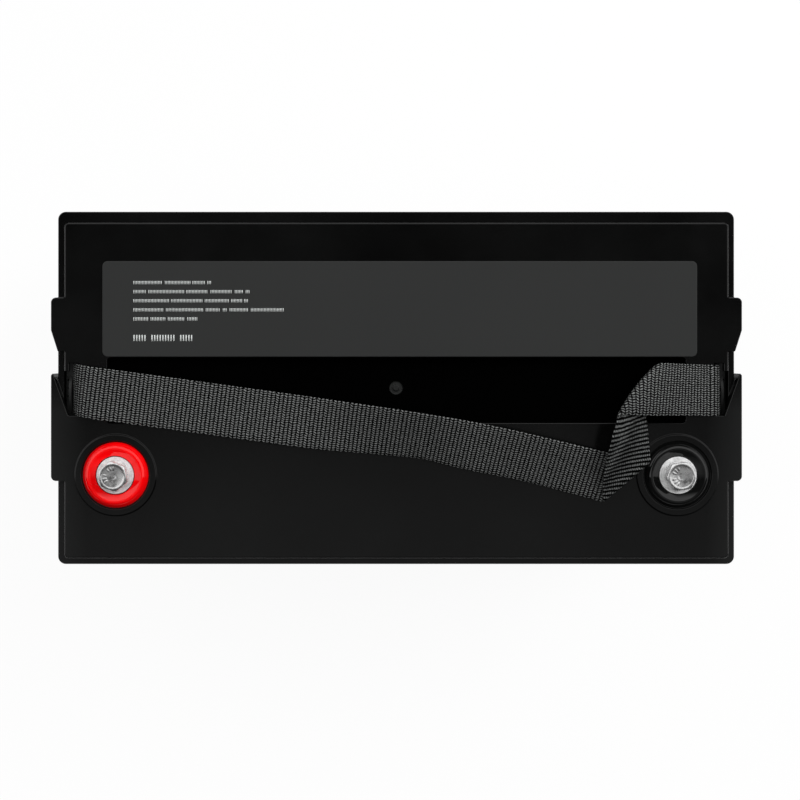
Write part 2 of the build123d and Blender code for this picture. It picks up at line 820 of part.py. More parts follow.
with BuildPart() as busbars:
    with BuildSketch(Plane.XY.offset(busbar_level)):
        for i in range(cell_count - 1):
            with Locations(((cell_xs[i] + cell_xs[i + 1]) / 2, -pad_ends[i] * cell_pad_offset)):
                SlotOverall(cell_pitch + busbar_width, busbar_width)
        with Locations(*pad_places):
            Circle(cell_stud_radius + 0.1, mode=Mode.SUBTRACT)
    extrude(amount=busbar_thickness)
save(busbars.part, "busbars")

with BuildPart() as cell_nuts:
    with BuildSketch(Plane.XY.offset(busbar_level + busbar_thickness)):
        with Locations(*pad_places):
            RegularPolygon(small_nut_across / 2, 6, major_radius=False)
            Circle(cell_stud_radius, mode=Mode.SUBTRACT)
    extrude(amount=small_nut_height)
save(cell_nuts.part, "cell_nuts")

# ---------------------------------------------------------------- foam and tray
with BuildPart() as floor_foam:
    with BuildSketch(Plane.XY.offset(case_floor)):
        Rectangle(plates_length, cell_width)
    extrude(amount=foam_floor)
save(floor_foam.part, "floor_foam")

with BuildPart() as end_foam:
    stack_end = plates_length / 2 + band_thickness
    foam_length = room_length / 2 - 0.2 - stack_end
    with BuildSketch(Plane.XY.offset(case_floor)):
        with GridLocations(2 * stack_end + foam_length, 1, 2, 1):
            RectangleRounded(foam_length, room_width - 2 * foam_side_gap, 3)
    extrude(amount=foam_top_level - case_floor)
save(end_foam.part, "end_foam")

with BuildPart() as tray:
    with BuildSketch(Plane.XY.offset(foam_top_level)):
        with Locations((0, (tray_front + tray_back) / 2)):
            RectangleRounded(tray_length, tray_back - tray_front, 3)
    extrude(amount=tray_thickness)
save(tray.part, "board_tray")

with BuildPart() as top_foam:
    foam_deep = deck_back - channel_back - 3 * deck_plate - 4
    with BuildSketch(Plane.XY.offset(tray_top)):
        with Locations((0, (channel_back + deck_back) / 2)):
            with GridLocations(0.82 * tray_length, 1, 2, 1):
                RectangleRounded(34, foam_deep, 3)
    extrude(amount=deck_under - tray_top)
save(top_foam.part, "top_foam")

# ---------------------------------------------------------------- battery management board
sink_corners = (sink_length - 12, sink_width - 12)
with BuildPart() as heat_sink:
    with BuildSketch(Plane.XY.offset(tray_top)):
        with Locations((0, sink_y)):
            RectangleRounded(sink_length, sink_width, 2)
    extrude(amount=sink_height)
    fin_pitch = (sink_width - 30) / sink_fin_count
    with BuildSketch(Plane.XY.offset(tray_top + sink_height / 2)):
        with Locations((0, sink_y)):
            with GridLocations(1, fin_pitch, 1, sink_fin_count):
                Rectangle(sink_length, fin_pitch / 2)
    extrude(amount=sink_height / 2, mode=Mode.SUBTRACT)
    with BuildSketch(Plane.XY.offset(tray_top + sink_height)):
        with Locations((0, sink_y)):
            with GridLocations(*sink_corners, 2, 2):
                Circle(screw_radius + 1.5)
    extrude(amount=board_standoff)
    with BuildSketch(Plane.XY.offset(tray_top + 1)):
        with Locations((0, sink_y)):
            with GridLocations(*sink_corners, 2, 2):
                Circle(screw_radius)
    extrude(amount=sink_height + board_standoff, mode=Mode.SUBTRACT)
save(heat_sink.part, "heat_sink")

with BuildPart() as board:
    with BuildSketch(Plane.XY.offset(board_level)):
        with Locations((0, sink_y)):
            RectangleRounded(sink_length, sink_width, 2)
            with GridLocations(*sink_corners, 2, 2):
                Circle(screw_radius, mode=Mode.SUBTRACT)
    extrude(amount=board_thickness)
save(board.part, "management_board")

board_top = board_level + board_thickness
with BuildPart() as screws:
    with BuildSketch(Plane.XY.offset(board_top)):
        with Locations((0, sink_y)):
            with GridLocations(*sink_corners, 2, 2):
                Circle(2.7)
    extrude(amount=2)
    with BuildSketch(Plane.XY.offset(tray_top + 1)):
        with Locations((0, sink_y)):
            with GridLocations(*sink_corners, 2, 2):
                Circle(screw_radius)
    extrude(amount=board_top - tray_top - 1)
save(screws.part, "board_screws")

with BuildPart() as mosfets:
    with BuildSketch(Plane.XY.offset(board_top)):
        with Locations((0, sink_y)):
            with GridLocations(sink_length * 0.8 / mosfet_count, 15, mosfet_count, 2):
                Rectangle(8.5, 10)
    extrude(amount=4.4)
save(mosfets.part, "power_transistors")

lead_pitch = 3.0
socket_y = sink_y + sink_width / 2 - 6
with BuildPart() as socket:
    with BuildSketch(Plane.XY.offset(board_top)):
        with Locations((0, socket_y)):
            Rectangle((cell_count + 2) * lead_pitch, 6)
    extrude(amount=6)
    with BuildSketch(Plane.XZ.offset(-(socket_y + 3))):
        with Locations((0, board_top + 3)):
            with GridLocations(lead_pitch, 1, cell_count + 1, 1):
                Circle(lead_radius)
    extrude(amount=3, mode=Mode.SUBTRACT)
save(socket.part, "lead_socket")


# ---------------------------------------------------------------- cables
def corner_radii(points):
    """For each inner point of a route, the largest arc that its two runs leave room for."""
    places = [Vector(*point) for point in points]
    radii = []
    for before, here, after in zip(places, places[1:], places[2:]):
        turn = (here - before).get_angle(after - here)
        shorter = min((here - before).length, (after - here).length)
        radii.append(0.45 * shorter / tan(radians(turn) / 2))
    return radii


def tube(points, radius):
    """A round tube along straight runs joined by tangent arcs."""
    with BuildPart(mode=Mode.PRIVATE) as body:
        with BuildLine() as route:
            FilletPolyline(*points, radius=corner_radii(points))
        with BuildSketch(Plane(route.edges()[0] @ 0, z_dir=route.edges()[0] % 0)):
            Circle(radius)
        sweep(path=route.edges())
    return body.part


def ring_lug(stud, angle, level, hole, up=1):
    """A ring lug on a stud, with its barrel pointing along an angle, above or below its ring."""
    ring_outer = hole + 4.2
    barrel_start = ring_outer + 1.0
    with BuildPart(mode=Mode.PRIVATE) as lug:
        with BuildSketch(Plane.XY):
            Circle(ring_outer)
            with Locations((barrel_start / 2 + 2, 0)):
                Rectangle(barrel_start + 4, 2 * lug_barrel_radius)
            Circle(hole, mode=Mode.SUBTRACT)
        extrude(amount=lug_thickness)
        axis_z = lug_thickness / 2 + up * (lug_barrel_radius - lug_thickness / 2)
        with BuildSketch(Plane.YZ.offset(barrel_start)):
            with Locations((0, axis_z)):
                Circle(lug_barrel_radius)
        extrude(amount=lug_barrel)
        with BuildSketch(Plane.YZ.offset(barrel_start + lug_wall)):
            with Locations((0, axis_z)):
                Circle(cable_radius)
        extrude(amount=lug_barrel, mode=Mode.SUBTRACT)
    place = Location((*stud, level), (0, 0, angle))
    return lug.part.moved(place)


def lug_mouth(stud, angle, level, hole, up=1):
    """Where the cable's end lies inside a ring lug's barrel, and a point further out."""
    axis_z = level + lug_thickness / 2 + up * (lug_barrel_radius - lug_thickness / 2)
    near = polar(*stud, hole + 5.2 + lug_wall, angle)
    far = polar(*stud, hole + 5.2 + lug_barrel + 2 * lug_wall, angle)
    return (*near, axis_z), (*far, axis_z)


nut_level = busbar_level + busbar_thickness
post_lug_level = flange_bottom - lug_thickness
stud_positive = (cell_xs[0], pad_ends[0] * cell_pad_offset)
stud_negative = (cell_xs[-1], -pad_ends[-1] * cell_pad_offset)
board_lug_y = sink_y - sink_width / 2 + 9
board_in = (-34.0, board_lug_y)
board_out = (34.0, board_lug_y)
post_positive = (-terminal_x, terminal_y)
post_negative = (terminal_x, terminal_y)
lug_hole = cell_stud_radius + 0.1
post_hole = thread_radius + 0.1

# Stud, angle of the barrel, level, hole radius, and whether the barrel stands up or hangs down
lug_calls = [
    (stud_positive, 25, busbar_level, lug_hole, 1),
    (post_positive, -20, post_lug_level, post_hole, -1),
    (stud_negative, 155, busbar_level, lug_hole, 1),
    (board_in, -35, board_top, lug_hole, 1),
    (board_out, -60, board_top, lug_hole, 1),
    (post_negative, 200, post_lug_level, post_hole, -1),
]
with BuildPart() as lugs:
    for call in lug_calls:
        add(ring_lug(*call))
save(lugs.part, "cable_lugs")

with BuildPart() as board_nuts:
    with BuildSketch(Plane.XY.offset(board_top + lug_thickness)):
        with Locations(board_in, board_out):
            RegularPolygon(small_nut_across / 2, 6, major_radius=False)
    extrude(amount=small_nut_height)
    with BuildSketch(Plane.XY.offset(board_top)):
        with Locations(board_in, board_out):
            Circle(cell_stud_radius)
    extrude(amount=lug_thickness)
save(board_nuts.part, "board_nuts")


def cable(name, first, last, middle):
    """A cable between two lugs, through the points given for its middle."""
    start, start_run = lug_mouth(*lug_calls[first])
    end, end_run = lug_mouth(*lug_calls[last])
    points = [start, start_run, *middle, end_run, end]
    part = tube(points, cable_radius)
    print(name, "bend radii", [round(radius) for radius in corner_radii(points)])
    save(part, name)


rise = busbar_level + 14
cable(
    "cable_positive",
    0,
    1,
    [(-22, -47, rise), (-14, -52, rise + 14), (-18, -56, rise + 32), (-44, -58, post_lug_level - 6.5)],
)
cable("cable_board_in", 2, 3, [])
cable("cable_negative", 4, 5, [(70, -62, board_top + 18)])

# Sense leads from the socket, over the tray's rear edge and under it to the studs
taps = [(stud_positive[0] - 7.6, stud_positive[1], busbar_level)]
for i in range(cell_count - 1):
    tap_x = (cell_xs[i] + cell_xs[i + 1]) / 2
    taps.append((tap_x, -pad_ends[i] * cell_pad_offset, nut_level))
taps.append((stud_negative[0] + 7.6, stud_negative[1], busbar_level))
edge_y = (tray_back + room_width / 2) / 2
under = foam_top_level - 3
with BuildPart() as leads:
    for i, (tap_x, tap_y, tap_level) in enumerate(taps):
        plug_x = (i - cell_count / 2) * lead_pitch
        points = [
            (plug_x, socket_y + 1, board_top + 3),
            (plug_x, socket_y + 12, board_top + 3),
            (0.8 * tap_x, tray_back - 12, tray_top + 10),
            (tap_x, edge_y, tray_top + 3),
            (tap_x, edge_y, under),
            (tap_x, tap_y + 16, under),
            (tap_x, tap_y + 5, tap_level + lead_radius + 0.4),
        ]
        add(tube(points, lead_radius))
save(leads.part, "sense_leads")

with BuildPart() as sensor:
    with BuildSketch(Plane.XY.offset(cell_top)):
        with Locations((cell_xs[1], 26)):
            SlotOverall(12, 4)
    extrude(amount=2.5)
save(sensor.part, "temperature_sensor")
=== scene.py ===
"""Looks of the deep cycle battery: moulded shell, terminals, woven strap and what is inside."""

import json

import bmesh
import bpy
import numpy as np
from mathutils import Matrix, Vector


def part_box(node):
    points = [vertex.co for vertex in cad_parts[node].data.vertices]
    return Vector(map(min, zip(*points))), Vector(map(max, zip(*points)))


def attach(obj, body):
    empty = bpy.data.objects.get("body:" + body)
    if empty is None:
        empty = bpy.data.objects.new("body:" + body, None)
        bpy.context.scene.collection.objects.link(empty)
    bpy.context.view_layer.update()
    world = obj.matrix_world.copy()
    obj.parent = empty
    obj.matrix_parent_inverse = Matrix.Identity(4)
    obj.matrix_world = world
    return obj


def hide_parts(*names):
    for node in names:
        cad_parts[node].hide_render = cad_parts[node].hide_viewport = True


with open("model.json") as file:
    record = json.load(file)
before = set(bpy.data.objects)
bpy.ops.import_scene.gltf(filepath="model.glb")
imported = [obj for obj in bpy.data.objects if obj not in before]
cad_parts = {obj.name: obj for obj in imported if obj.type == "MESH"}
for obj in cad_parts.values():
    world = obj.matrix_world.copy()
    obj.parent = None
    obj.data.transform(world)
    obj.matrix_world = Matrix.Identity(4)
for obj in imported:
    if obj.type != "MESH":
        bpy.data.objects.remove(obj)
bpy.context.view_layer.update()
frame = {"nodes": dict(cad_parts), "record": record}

MM = 0.001
CM = 0.1  # centimetres in a millimetre, for the strap's UV
NODES = frame["nodes"]


# ---------------------------------------------------------------- places, all from the frame, in millimetres
def corner(node, end):
    """A node's lowest (0) or highest (1) corner as an array in millimetres."""
    return np.array(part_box(node)[end]) / MM


def middle(node):
    """The middle of a node's box in millimetres."""
    return (corner(node, 0) + corner(node, 1)) / 2


BOSS_RISE = 1.2  # the terminal bosses over the deck
LEDGE_DROP = 5.0  # from the deck down to the ledge round it
STRAP_INSET = 1.5  # from the strap's outermost face in to its slot's inner face

deck_level = corner("lid", 1)[2] - BOSS_RISE
ledge_level = deck_level - LEDGE_DROP
slot_face = corner("strap", 1)[0] - STRAP_INSET
terminal = {name: middle(f"terminal_ring_{name}")[:2] for name in ("positive", "negative")}
head_bottom = corner("spring_washer_positive", 1)[2]
head_top = corner("terminal_bolt_positive", 1)[2]
bolt_tip = corner("terminal_bolt_positive", 0)[2]


# ---------------------------------------------------------------- surfaces
def grid_faces(rows, columns, wrap_rows=False):
    """Quads of a grid of points numbered row by row, whose columns, and rows if asked, join round."""
    i = np.arange(rows if wrap_rows else rows - 1)[:, None]
    j = np.arange(columns)[None, :]
    down = (i + 1) % rows
    right = (j + 1) % columns
    corners = [i * columns + j, i * columns + right, down * columns + right, down * columns + j]
    return np.stack(np.broadcast_arrays(*corners), axis=-1).reshape(-1, 4)


def new_object(name, mesh, smooth=True):
    """Link a mesh as an object at the origin."""
    mesh.update()
    if smooth:
        mesh.shade_smooth()
    piece = bpy.data.objects.new(name, mesh)
    bpy.context.scene.collection.objects.link(piece)
    return piece


def quad_mesh(name, points, quads, uv=None, triangles=None):
    """A mesh of quads, and triangles if given, from points in millimetres, with an optional UV for each."""
    mesh = bpy.data.meshes.new(name)
    points = np.asarray(points, float).reshape(-1, 3) * MM
    quads = np.asarray(quads)
    triangles = np.zeros((0, 3), int) if triangles is None else np.asarray(triangles)
    loops = np.concatenate([quads.ravel(), triangles.ravel()])
    starts = np.concatenate([np.arange(0, quads.size, 4), quads.size + np.arange(0, triangles.size, 3)])
    mesh.vertices.add(len(points))
    mesh.vertices.foreach_set("co", points.ravel())
    mesh.loops.add(len(loops))
    mesh.loops.foreach_set("vertex_index", loops)
    mesh.polygons.add(len(starts))
    mesh.polygons.foreach_set("loop_start", starts)
    if uv is not None:
        layer = mesh.uv_layers.new(name="weave")
        layer.data.foreach_set("uv", np.asarray(uv, float).reshape(-1, 2)[loops].ravel())
    mesh.validate()
    return mesh


def capped_grid(name, points):
    """A grid whose columns close into loops, and whose first and last loops are closed by a pole.

    points has the shape rows x columns x 3. A pole is the mean of the loop that it closes."""
    rows, columns = points.shape[:2]
    faces = grid_faces(rows, columns)
    flat = points.reshape(-1, 3)
    turn = np.arange(columns)
    following = (turn + 1) % columns
    fans = []
    for row in (0, rows - 1):
        pole = np.full(columns, len(flat))
        flat = np.vstack([flat, points[row].mean(axis=0)])
        near, far = row * columns + turn, row * columns + following
        fans.append(np.stack([near, far, pole] if row else [far, near, pole], axis=1))
    return quad_mesh(name, flat, faces, triangles=np.vstack(fans))


def tidy(piece, merge=1e-6):
    """Merge doubled points, drop collapsed faces and turn every face outwards."""
    shape = bmesh.new()
    shape.from_mesh(piece.data)
    bmesh.ops.remove_doubles(shape, verts=shape.verts, dist=merge)
    bmesh.ops.dissolve_degenerate(shape, dist=merge, edges=shape.edges)
    bmesh.ops.recalc_face_normals(shape, faces=shape.faces)
    shape.to_mesh(piece.data)
    shape.free()
    piece.data.shade_smooth()
    return piece


def arc_corner(before, here, after, radius, steps):
    """Points of the arc that rounds one corner of an outline: a circle tangent to both sides."""
    to_before = (before - here) / np.linalg.norm(before - here)
    to_after = (after - here) / np.linalg.norm(after - here)
    half = np.arccos(np.clip(to_before @ to_after, -1, 1)) / 2
    reach = radius / np.tan(half)
    centre = here + (to_before + to_after) / np.linalg.norm(to_before + to_after) * radius / np.sin(half)
    start = here + to_before * reach - centre
    end = here + to_after * reach - centre
    share = np.linspace(0, 1, steps)[:, None]
    angle = np.pi - 2 * half
    weights = np.hstack([np.sin((1 - share) * angle), np.sin(share * angle)]) / np.sin(angle)
    return centre + weights @ np.vstack([start, end])


def rounded(points, radii, steps=7):
    """A closed outline with each corner rounded by its own radius; a radius of 0 stays sharp."""
    points = np.asarray(points, float)
    pieces = []
    for k, radius in enumerate(radii):
        before, after = points[k - 1], points[(k + 1) % len(points)]
        if radius:
            pieces.append(arc_corner(before, points[k], after, radius, steps))
        else:
            pieces.append(points[k : k + 1])
    return np.vstack(pieces)


def revolved(name, profile, centre, turns=128):
    """A closed profile of (radius, height) carried once round an upright axis."""
    angle = np.linspace(0, 2 * np.pi, turns, endpoint=False)[None, :]
    radius = profile[:, 0][:, None]
    height = np.repeat(profile[:, 1][:, None], turns, axis=1)
    x = centre[0] + radius * np.cos(angle)
    y = centre[1] + radius * np.sin(angle)
    points = np.stack([x, y, height], axis=-1)
    faces = grid_faces(len(profile), turns, wrap_rows=True)
    return tidy(new_object(name, quad_mesh(name, points, faces)))


def smoothstep(value):
    """0 below 0, 1 above 1, and 3t^2 - 2t^3 between."""
    t = np.clip(value, 0, 1)
    return t * t * (3 - 2 * t)


# ---------------------------------------------------------------- material nodes
class Nodes:
    """A node tree in the making, with short words for its nodes."""

    def __init__(self, tree):
        self.tree = tree
        self.place = tree.nodes.new("ShaderNodeTexCoord")

    def link(self, source, target):
        self.tree.links.new(source, target)

    def feed(self, node, socket, value):
        """Give a socket a number, a colour or another node's output."""
        if isinstance(value, bpy.types.NodeSocket):
            self.link(value, node.inputs[socket])
        else:
            node.inputs[socket].default_value = value

    def split(self, vector):
        """The X, Y and Z outputs of a vector."""
        node = self.tree.nodes.new("ShaderNodeSeparateXYZ")
        self.link(vector, node.inputs[0])
        return node.outputs

    def math(self, operation, *values):
        node = self.tree.nodes.new("ShaderNodeMath")
        node.operation = operation
        for slot, value in enumerate(values):
            self.feed(node, slot, value)
        return node.outputs[0]

    def noise(self, scale, detail=3.0, roughness=0.55, stretch=None, vector=None):
        """Noise in the object's own metres, stretched along an axis if asked."""
        node = self.tree.nodes.new("ShaderNodeTexNoise")
        node.inputs["Scale"].default_value = scale
        node.inputs["Detail"].default_value = detail
        node.inputs["Roughness"].default_value = roughness
        source = vector or self.place.outputs["Object"]
        if stretch:
            mapping = self.tree.nodes.new("ShaderNodeMapping")
            mapping.inputs["Scale"].default_value = stretch
            self.link(source, mapping.inputs["Vector"])
            source = mapping.outputs["Vector"]
        self.link(source, node.inputs["Vector"])
        return node.outputs["Fac"]

    def spread(self, value, low, high, source=(0.0, 1.0)):
        """Map a value from one range to another, held at the ends."""
        node = self.tree.nodes.new("ShaderNodeMapRange")
        node.clamp = True
        self.feed(node, "Value", value)
        node.inputs["From Min"].default_value = source[0]
        node.inputs["From Max"].default_value = source[1]
        node.inputs["To Min"].default_value = low
        node.inputs["To Max"].default_value = high
        return node.outputs["Result"]

    def blend(self, share, low, high):
        """Mix two colours or colour outputs."""
        node = self.tree.nodes.new("ShaderNodeMix")
        node.data_type = "RGBA"
        self.feed(node, 0, share)
        self.feed(node, 6, low)
        self.feed(node, 7, high)
        return node.outputs[2]

    def bump(self, height, distance, strength=1.0, below=None):
        """Bump from a height, laid over another bump if one is given."""
        node = self.tree.nodes.new("ShaderNodeBump")
        node.inputs["Strength"].default_value = strength
        node.inputs["Distance"].default_value = distance
        self.link(height, node.inputs["Height"])
        if below:
            self.link(below, node.inputs["Normal"])
        return node.outputs["Normal"]


class Recipe(Nodes):
    """A procedural material in the making."""

    def __init__(self, name, **settings):
        self.material = bpy.data.materials.new(name)
        self.material.use_nodes = True
        super().__init__(self.material.node_tree)
        self.shader = self.tree.nodes["Principled BSDF"]
        for socket, value in settings.items():
            self.shader.inputs[socket.replace("_", " ")].default_value = value

    def finish(self, colour=None, roughness=None, normal=None):
        """Join the finished outputs to the shader."""
        for value, socket in ((colour, "Base Color"), (roughness, "Roughness"), (normal, "Normal")):
            if value is not None:
                self.link(value, self.shader.inputs[socket])
        return self.material


def grey(level):
    """A neutral colour a touch cooler than grey."""
    return (level, level * 1.04, level * 1.02, 1)


def dimmed(colour, share):
    """A colour at a share of its brightness."""
    return tuple(part * share for part in colour[:3]) + (1,)


def moulded(name, dark, light, rough=(0.34, 0.46), grain=0.00002, specular=0.3, corners=None):
    """Injection-moulded plastic: slow clouds of tone, uneven sheen and a fine spark-eroded grain.

    A third tone, if given, takes over at the two front corners of the lid as painted light, lighter there
    for the light those corners catch."""
    r = Recipe(name, Specular_IOR_Level=specular)
    clouds = r.noise(9, detail=2)
    fine = r.noise(1800, detail=2, roughness=0.7)
    tone = r.blend(r.spread(clouds, 0, 1, (0.35, 0.65)), dark, light)
    # Painted light: the third tone is laid on the lid's two front corners, where they would catch more
    # light.
    if corners:
        x, y, _ = r.split(r.place.outputs["Object"])
        ends = r.spread(r.math("ABSOLUTE", x), 0, 1, (0.15, 0.166))
        front = r.spread(y, 1, 0, (-0.012, 0.004))
        tone = r.blend(r.math("MULTIPLY", ends, front), tone, corners)
    sheen = r.spread(r.noise(45, detail=4), rough[0], rough[1], (0.3, 0.7))
    ripple = r.bump(r.noise(30, detail=1), grain * 4, 0.25)
    return r.finish(tone, sheen, r.bump(fine, grain, 0.6, ripple))


def plated(name, base, rough, metallic):
    """Zinc-plated steel: bright metal, blotched by handling, with fine pits."""
    r = Recipe(name, Metallic=metallic)
    blotch = r.noise(420, detail=5, roughness=0.65)
    pits = r.noise(2600, detail=2, roughness=0.6)
    tone = r.blend(r.spread(blotch, 0, 1, (0.4, 0.62)), base, dimmed(base, 0.72))
    sheen = r.spread(blotch, rough[1], rough[0], (0.35, 0.65))
    return r.finish(tone, sheen, r.bump(pits, 0.00003, 0.5, r.bump(blotch, 0.00012, 0.35)))


def turned(name, base, rough=0.25):
    """Machined metal: streaks along the cut and a slight tarnish."""
    r = Recipe(name, Metallic=1.0)
    streak = r.noise(600, detail=3, stretch=(1, 1, 12))
    tone = r.blend(r.spread(r.noise(150), 0, 1, (0.35, 0.7)), base, dimmed(base, 0.8))
    sheen = r.spread(streak, rough, rough + 0.15)
    return r.finish(tone, sheen, r.bump(streak, 0.00002, 0.3))


def rubbery(name, dark, light):
    """Rubber or silicone: dull, with a dusty bloom."""
    r = Recipe(name, Specular_IOR_Level=0.3)
    dust = r.noise(220, detail=4)
    return r.finish(r.blend(dust, dark, light), r.spread(dust, 0.5, 0.7), r.bump(dust, 0.00004, 0.5))


def cellular(name, dark, light):
    """Closed-cell foam: a field of small round cells."""
    r = Recipe(name, Specular_IOR_Level=0.15, Roughness=0.9)
    cells = r.tree.nodes.new("ShaderNodeTexVoronoi")
    cells.inputs["Scale"].default_value = 700
    r.link(r.place.outputs["Object"], cells.inputs["Vector"])
    depth = cells.outputs["Distance"]
    return r.finish(r.blend(r.spread(depth, 1, 0), dark, light), None, r.bump(depth, 0.0004, 0.8))


def glossy(name, base, shade, specular):
    """Glossy coloured plastic with a little unevenness under the shine."""
    r = Recipe(name, Specular_IOR_Level=specular)
    wave = r.noise(120, detail=2)
    tone = r.blend(r.spread(wave, 0, 1, (0.4, 0.6)), base, shade)
    return r.finish(tone, r.spread(wave, 0.02, 0.035), r.bump(wave, 0.00003, 0.3))


def printed_film(name, base, light):
    """Satin label film: an even tone with the faint tooth of the laminate."""
    r = Recipe(name, Specular_IOR_Level=0.35)
    tooth = r.noise(2400, detail=2)
    slow = r.noise(12, detail=2)
    tone = r.blend(r.spread(slow, 0, 1, (0.3, 0.7)), base, light)
    return r.finish(tone, r.spread(slow, 0.47, 0.49), r.bump(tooth, 0.000015, 0.5))


def laminate(name, base, light):
    """Glass laminate or solder mask over a woven board."""
    r = Recipe(name, Specular_IOR_Level=0.5)
    warp = r.noise(1400, detail=1, stretch=(1, 0.1, 1))
    weft = r.noise(1400, detail=1, stretch=(0.1, 1, 1))
    cloth = r.math("MULTIPLY", warp, weft)
    tone = r.blend(r.spread(cloth, 0, 1, (0.15, 0.35)), base, light)
    return r.finish(tone, r.spread(cloth, 0.3, 0.45), r.bump(cloth, 0.00003, 0.4))


def woven(name):
    """Strap webbing: crosswise ribs, each of short slanted yarns that meet the next rib's in a zigzag.

    U runs along the strap and V across it, both in centimetres. On the reverse face, where V has a
    large offset, the yarns close up into plain cords."""
    r = Recipe(name, Specular_IOR_Level=0.08, Metallic=0.55)
    cloth = r.place.outputs["UV"]
    along, across, _ = r.split(cloth)
    reverse = r.math("GREATER_THAN", across, REVERSE / 2)
    wander = r.spread(r.noise(5, vector=cloth), -0.035, 0.035)
    rib = r.math("DIVIDE", r.math("ADD", along, wander), RIB_PITCH * CM)
    zigzag = r.math("PINGPONG", rib, 1.0)
    rise = r.math("SINE", r.math("MULTIPLY", r.math("FRACT", rib), np.pi))
    yarn_wander = r.spread(r.noise(3.5, vector=cloth), -0.6, 0.6)
    rows = r.math("ADD", r.math("DIVIDE", across, YARN_PITCH * CM), yarn_wander)
    yarn = r.math("FRACT", r.math("ADD", rows, r.math("MULTIPLY", zigzag, 0.62)))
    crown = r.math("SINE", r.math("MULTIPLY", yarn, np.pi))
    front = r.math("MULTIPLY", r.math("POWER", rise, 0.55), crown)
    cord = r.math("MULTIPLY", r.math("POWER", rise, 1.3), r.spread(crown, 0.25, 1.0))
    front = r.math("MULTIPLY", front, r.math("SUBTRACT", 1, reverse))
    height = r.math("ADD", r.math("MULTIPLY", cord, reverse), front)
    fibre = r.noise(140, detail=2, roughness=0.7, stretch=(0.35, 1, 1), vector=cloth)
    uneven = r.spread(r.noise(9, detail=3, vector=cloth), 0.7, 1.0, (0.3, 0.65))
    # Painted light: the tone follows the weave's height, near black in the grooves as painted shade and pale
    # grey on the yarn crowns as painted highlight.
    lit = r.math("MULTIPLY", r.spread(height, 0, 1, (0.42, 0.9)), uneven)
    bright = r.math("MULTIPLY", lit, r.spread(fibre, 0.65, 1.0))
    tone = r.blend(bright, (0.0008, 0.0009, 0.0009, 1), (0.34, 0.35, 0.345, 1))
    normal = r.bump(fibre, 0.00003, 0.4, r.bump(height, 0.00035, 0.9))
    return r.finish(tone, r.spread(height, 0.85, 0.46), normal)


# ---------------------------------------------------------------- moulded shell
SHARP_ANGLE = 28
EDGE_SEGMENTS = 3


def softened(node, name, width):
    """A copy of a CAD node with its flat faces joined and its sharp edges rounded by a width in mm."""
    mesh = NODES[node].data.copy()
    mesh.name = name
    mesh.materials.clear()
    shape = bmesh.new()
    shape.from_mesh(mesh)
    bmesh.ops.remove_doubles(shape, verts=shape.verts, dist=2e-6)
    bmesh.ops.dissolve_limit(
        shape, angle_limit=np.radians(0.5), verts=shape.verts, edges=shape.edges, delimit=set()
    )
    shape.to_mesh(mesh)
    shape.free()
    piece = new_object(name, mesh)
    bevel = piece.modifiers.new("rounded edges", "BEVEL")
    bevel.width = width * MM
    bevel.segments = EDGE_SEGMENTS
    bevel.limit_method = "ANGLE"
    bevel.angle_limit = np.radians(SHARP_ANGLE)
    bevel.use_clamp_overlap = False
    bevel.miter_outer = "MITER_ARC"
    level = piece.modifiers.new("flat faces stay flat", "WEIGHTED_NORMAL")
    level.mode = "FACE_AREA"
    level.weight = 100
    level.thresh = 0.01
    return piece


GATE_RADIUS = 3.6
CHANNEL_FRONT = -17.5
CHANNEL_BACK = 19.0
DECK_SKIN = 0.3  # what lies nearer the deck than this is part of it
SUNK_DEPTH = 10  # and this is how far below the ledge a sunk face can lie


def sunk_faces(mesh):
    """Give the channel's and wells' faces the second material, a near-black painted shade: those well inside
    the lid and below its deck.

    The moulding gate in the middle of the channel, and the floor just round it, take the third."""
    centre = np.empty(len(mesh.polygons) * 3)
    mesh.polygons.foreach_get("center", centre)
    x, y, z = centre.reshape(-1, 3).T / MM
    inside = (np.abs(x) < corner("strap", 1)[0]) & (y > CHANNEL_FRONT) & (y < CHANNEL_BACK)
    inside &= (z < deck_level - DECK_SKIN) & (z > ledge_level - SUNK_DEPTH)
    gate = inside & (np.hypot(x, y) < GATE_RADIUS)
    mesh.polygons.foreach_set("material_index", inside.astype(np.int32) + gate)


# ---------------------------------------------------------------- terminals
WASHER_CLEARANCE = 0.4
BORE = 4.25
HALF_FLAT = 6.5  # half the 13 mm across the flats of an M8 head
CHAMFER_RADIUS = 6.15
CHAMFER_ANGLE = 30
DISH_RADIUS = 5.6
DISH_DEPTH = 0.55
THREAD_RADIUS = 3.93
THREAD_DEPTH = 0.62
THREAD_PITCH = 1.25
MARK_ANGLES = (118, 96, 74, 162, 186, 208)


def outer_radius(node):
    """Half the width of a round node's box."""
    return (corner(node, 1)[0] - corner(node, 0)[0]) / 2


def ring_profile(low, inner, outer, crest):
    """Section of a terminal ring: a cone down to the washer, a round crest and an upright side.

    The top's height is the running sum of the tangent of a slope that changes evenly with radius."""
    slope_at = [inner, inner + 2.9, inner + 3.3, inner + 3.7, outer - 2.3, outer - 0.25]
    slope = np.radians([-12, -18, 0, 10, 44, 66])
    radius = np.linspace(inner + 0.1, outer - 0.25, 96)
    fall = np.tan(np.interp(radius, slope_at, slope))
    drop = np.concatenate([[0], np.cumsum((fall[1:] + fall[:-1]) / 2 * np.diff(radius))])
    top = np.column_stack([radius, crest - 0.15 + drop.min() - drop])
    rim = top[-1, 1]
    side = np.array([[outer - 0.07, rim - 0.3], [outer, rim - 0.7], [outer, low + 0.1], [outer - 0.1, low]])
    lip = np.array([[inner + 0.1, low], [inner, low + 0.1], [inner, top[0, 1] - 0.12]])
    return np.vstack([top, side, lip])


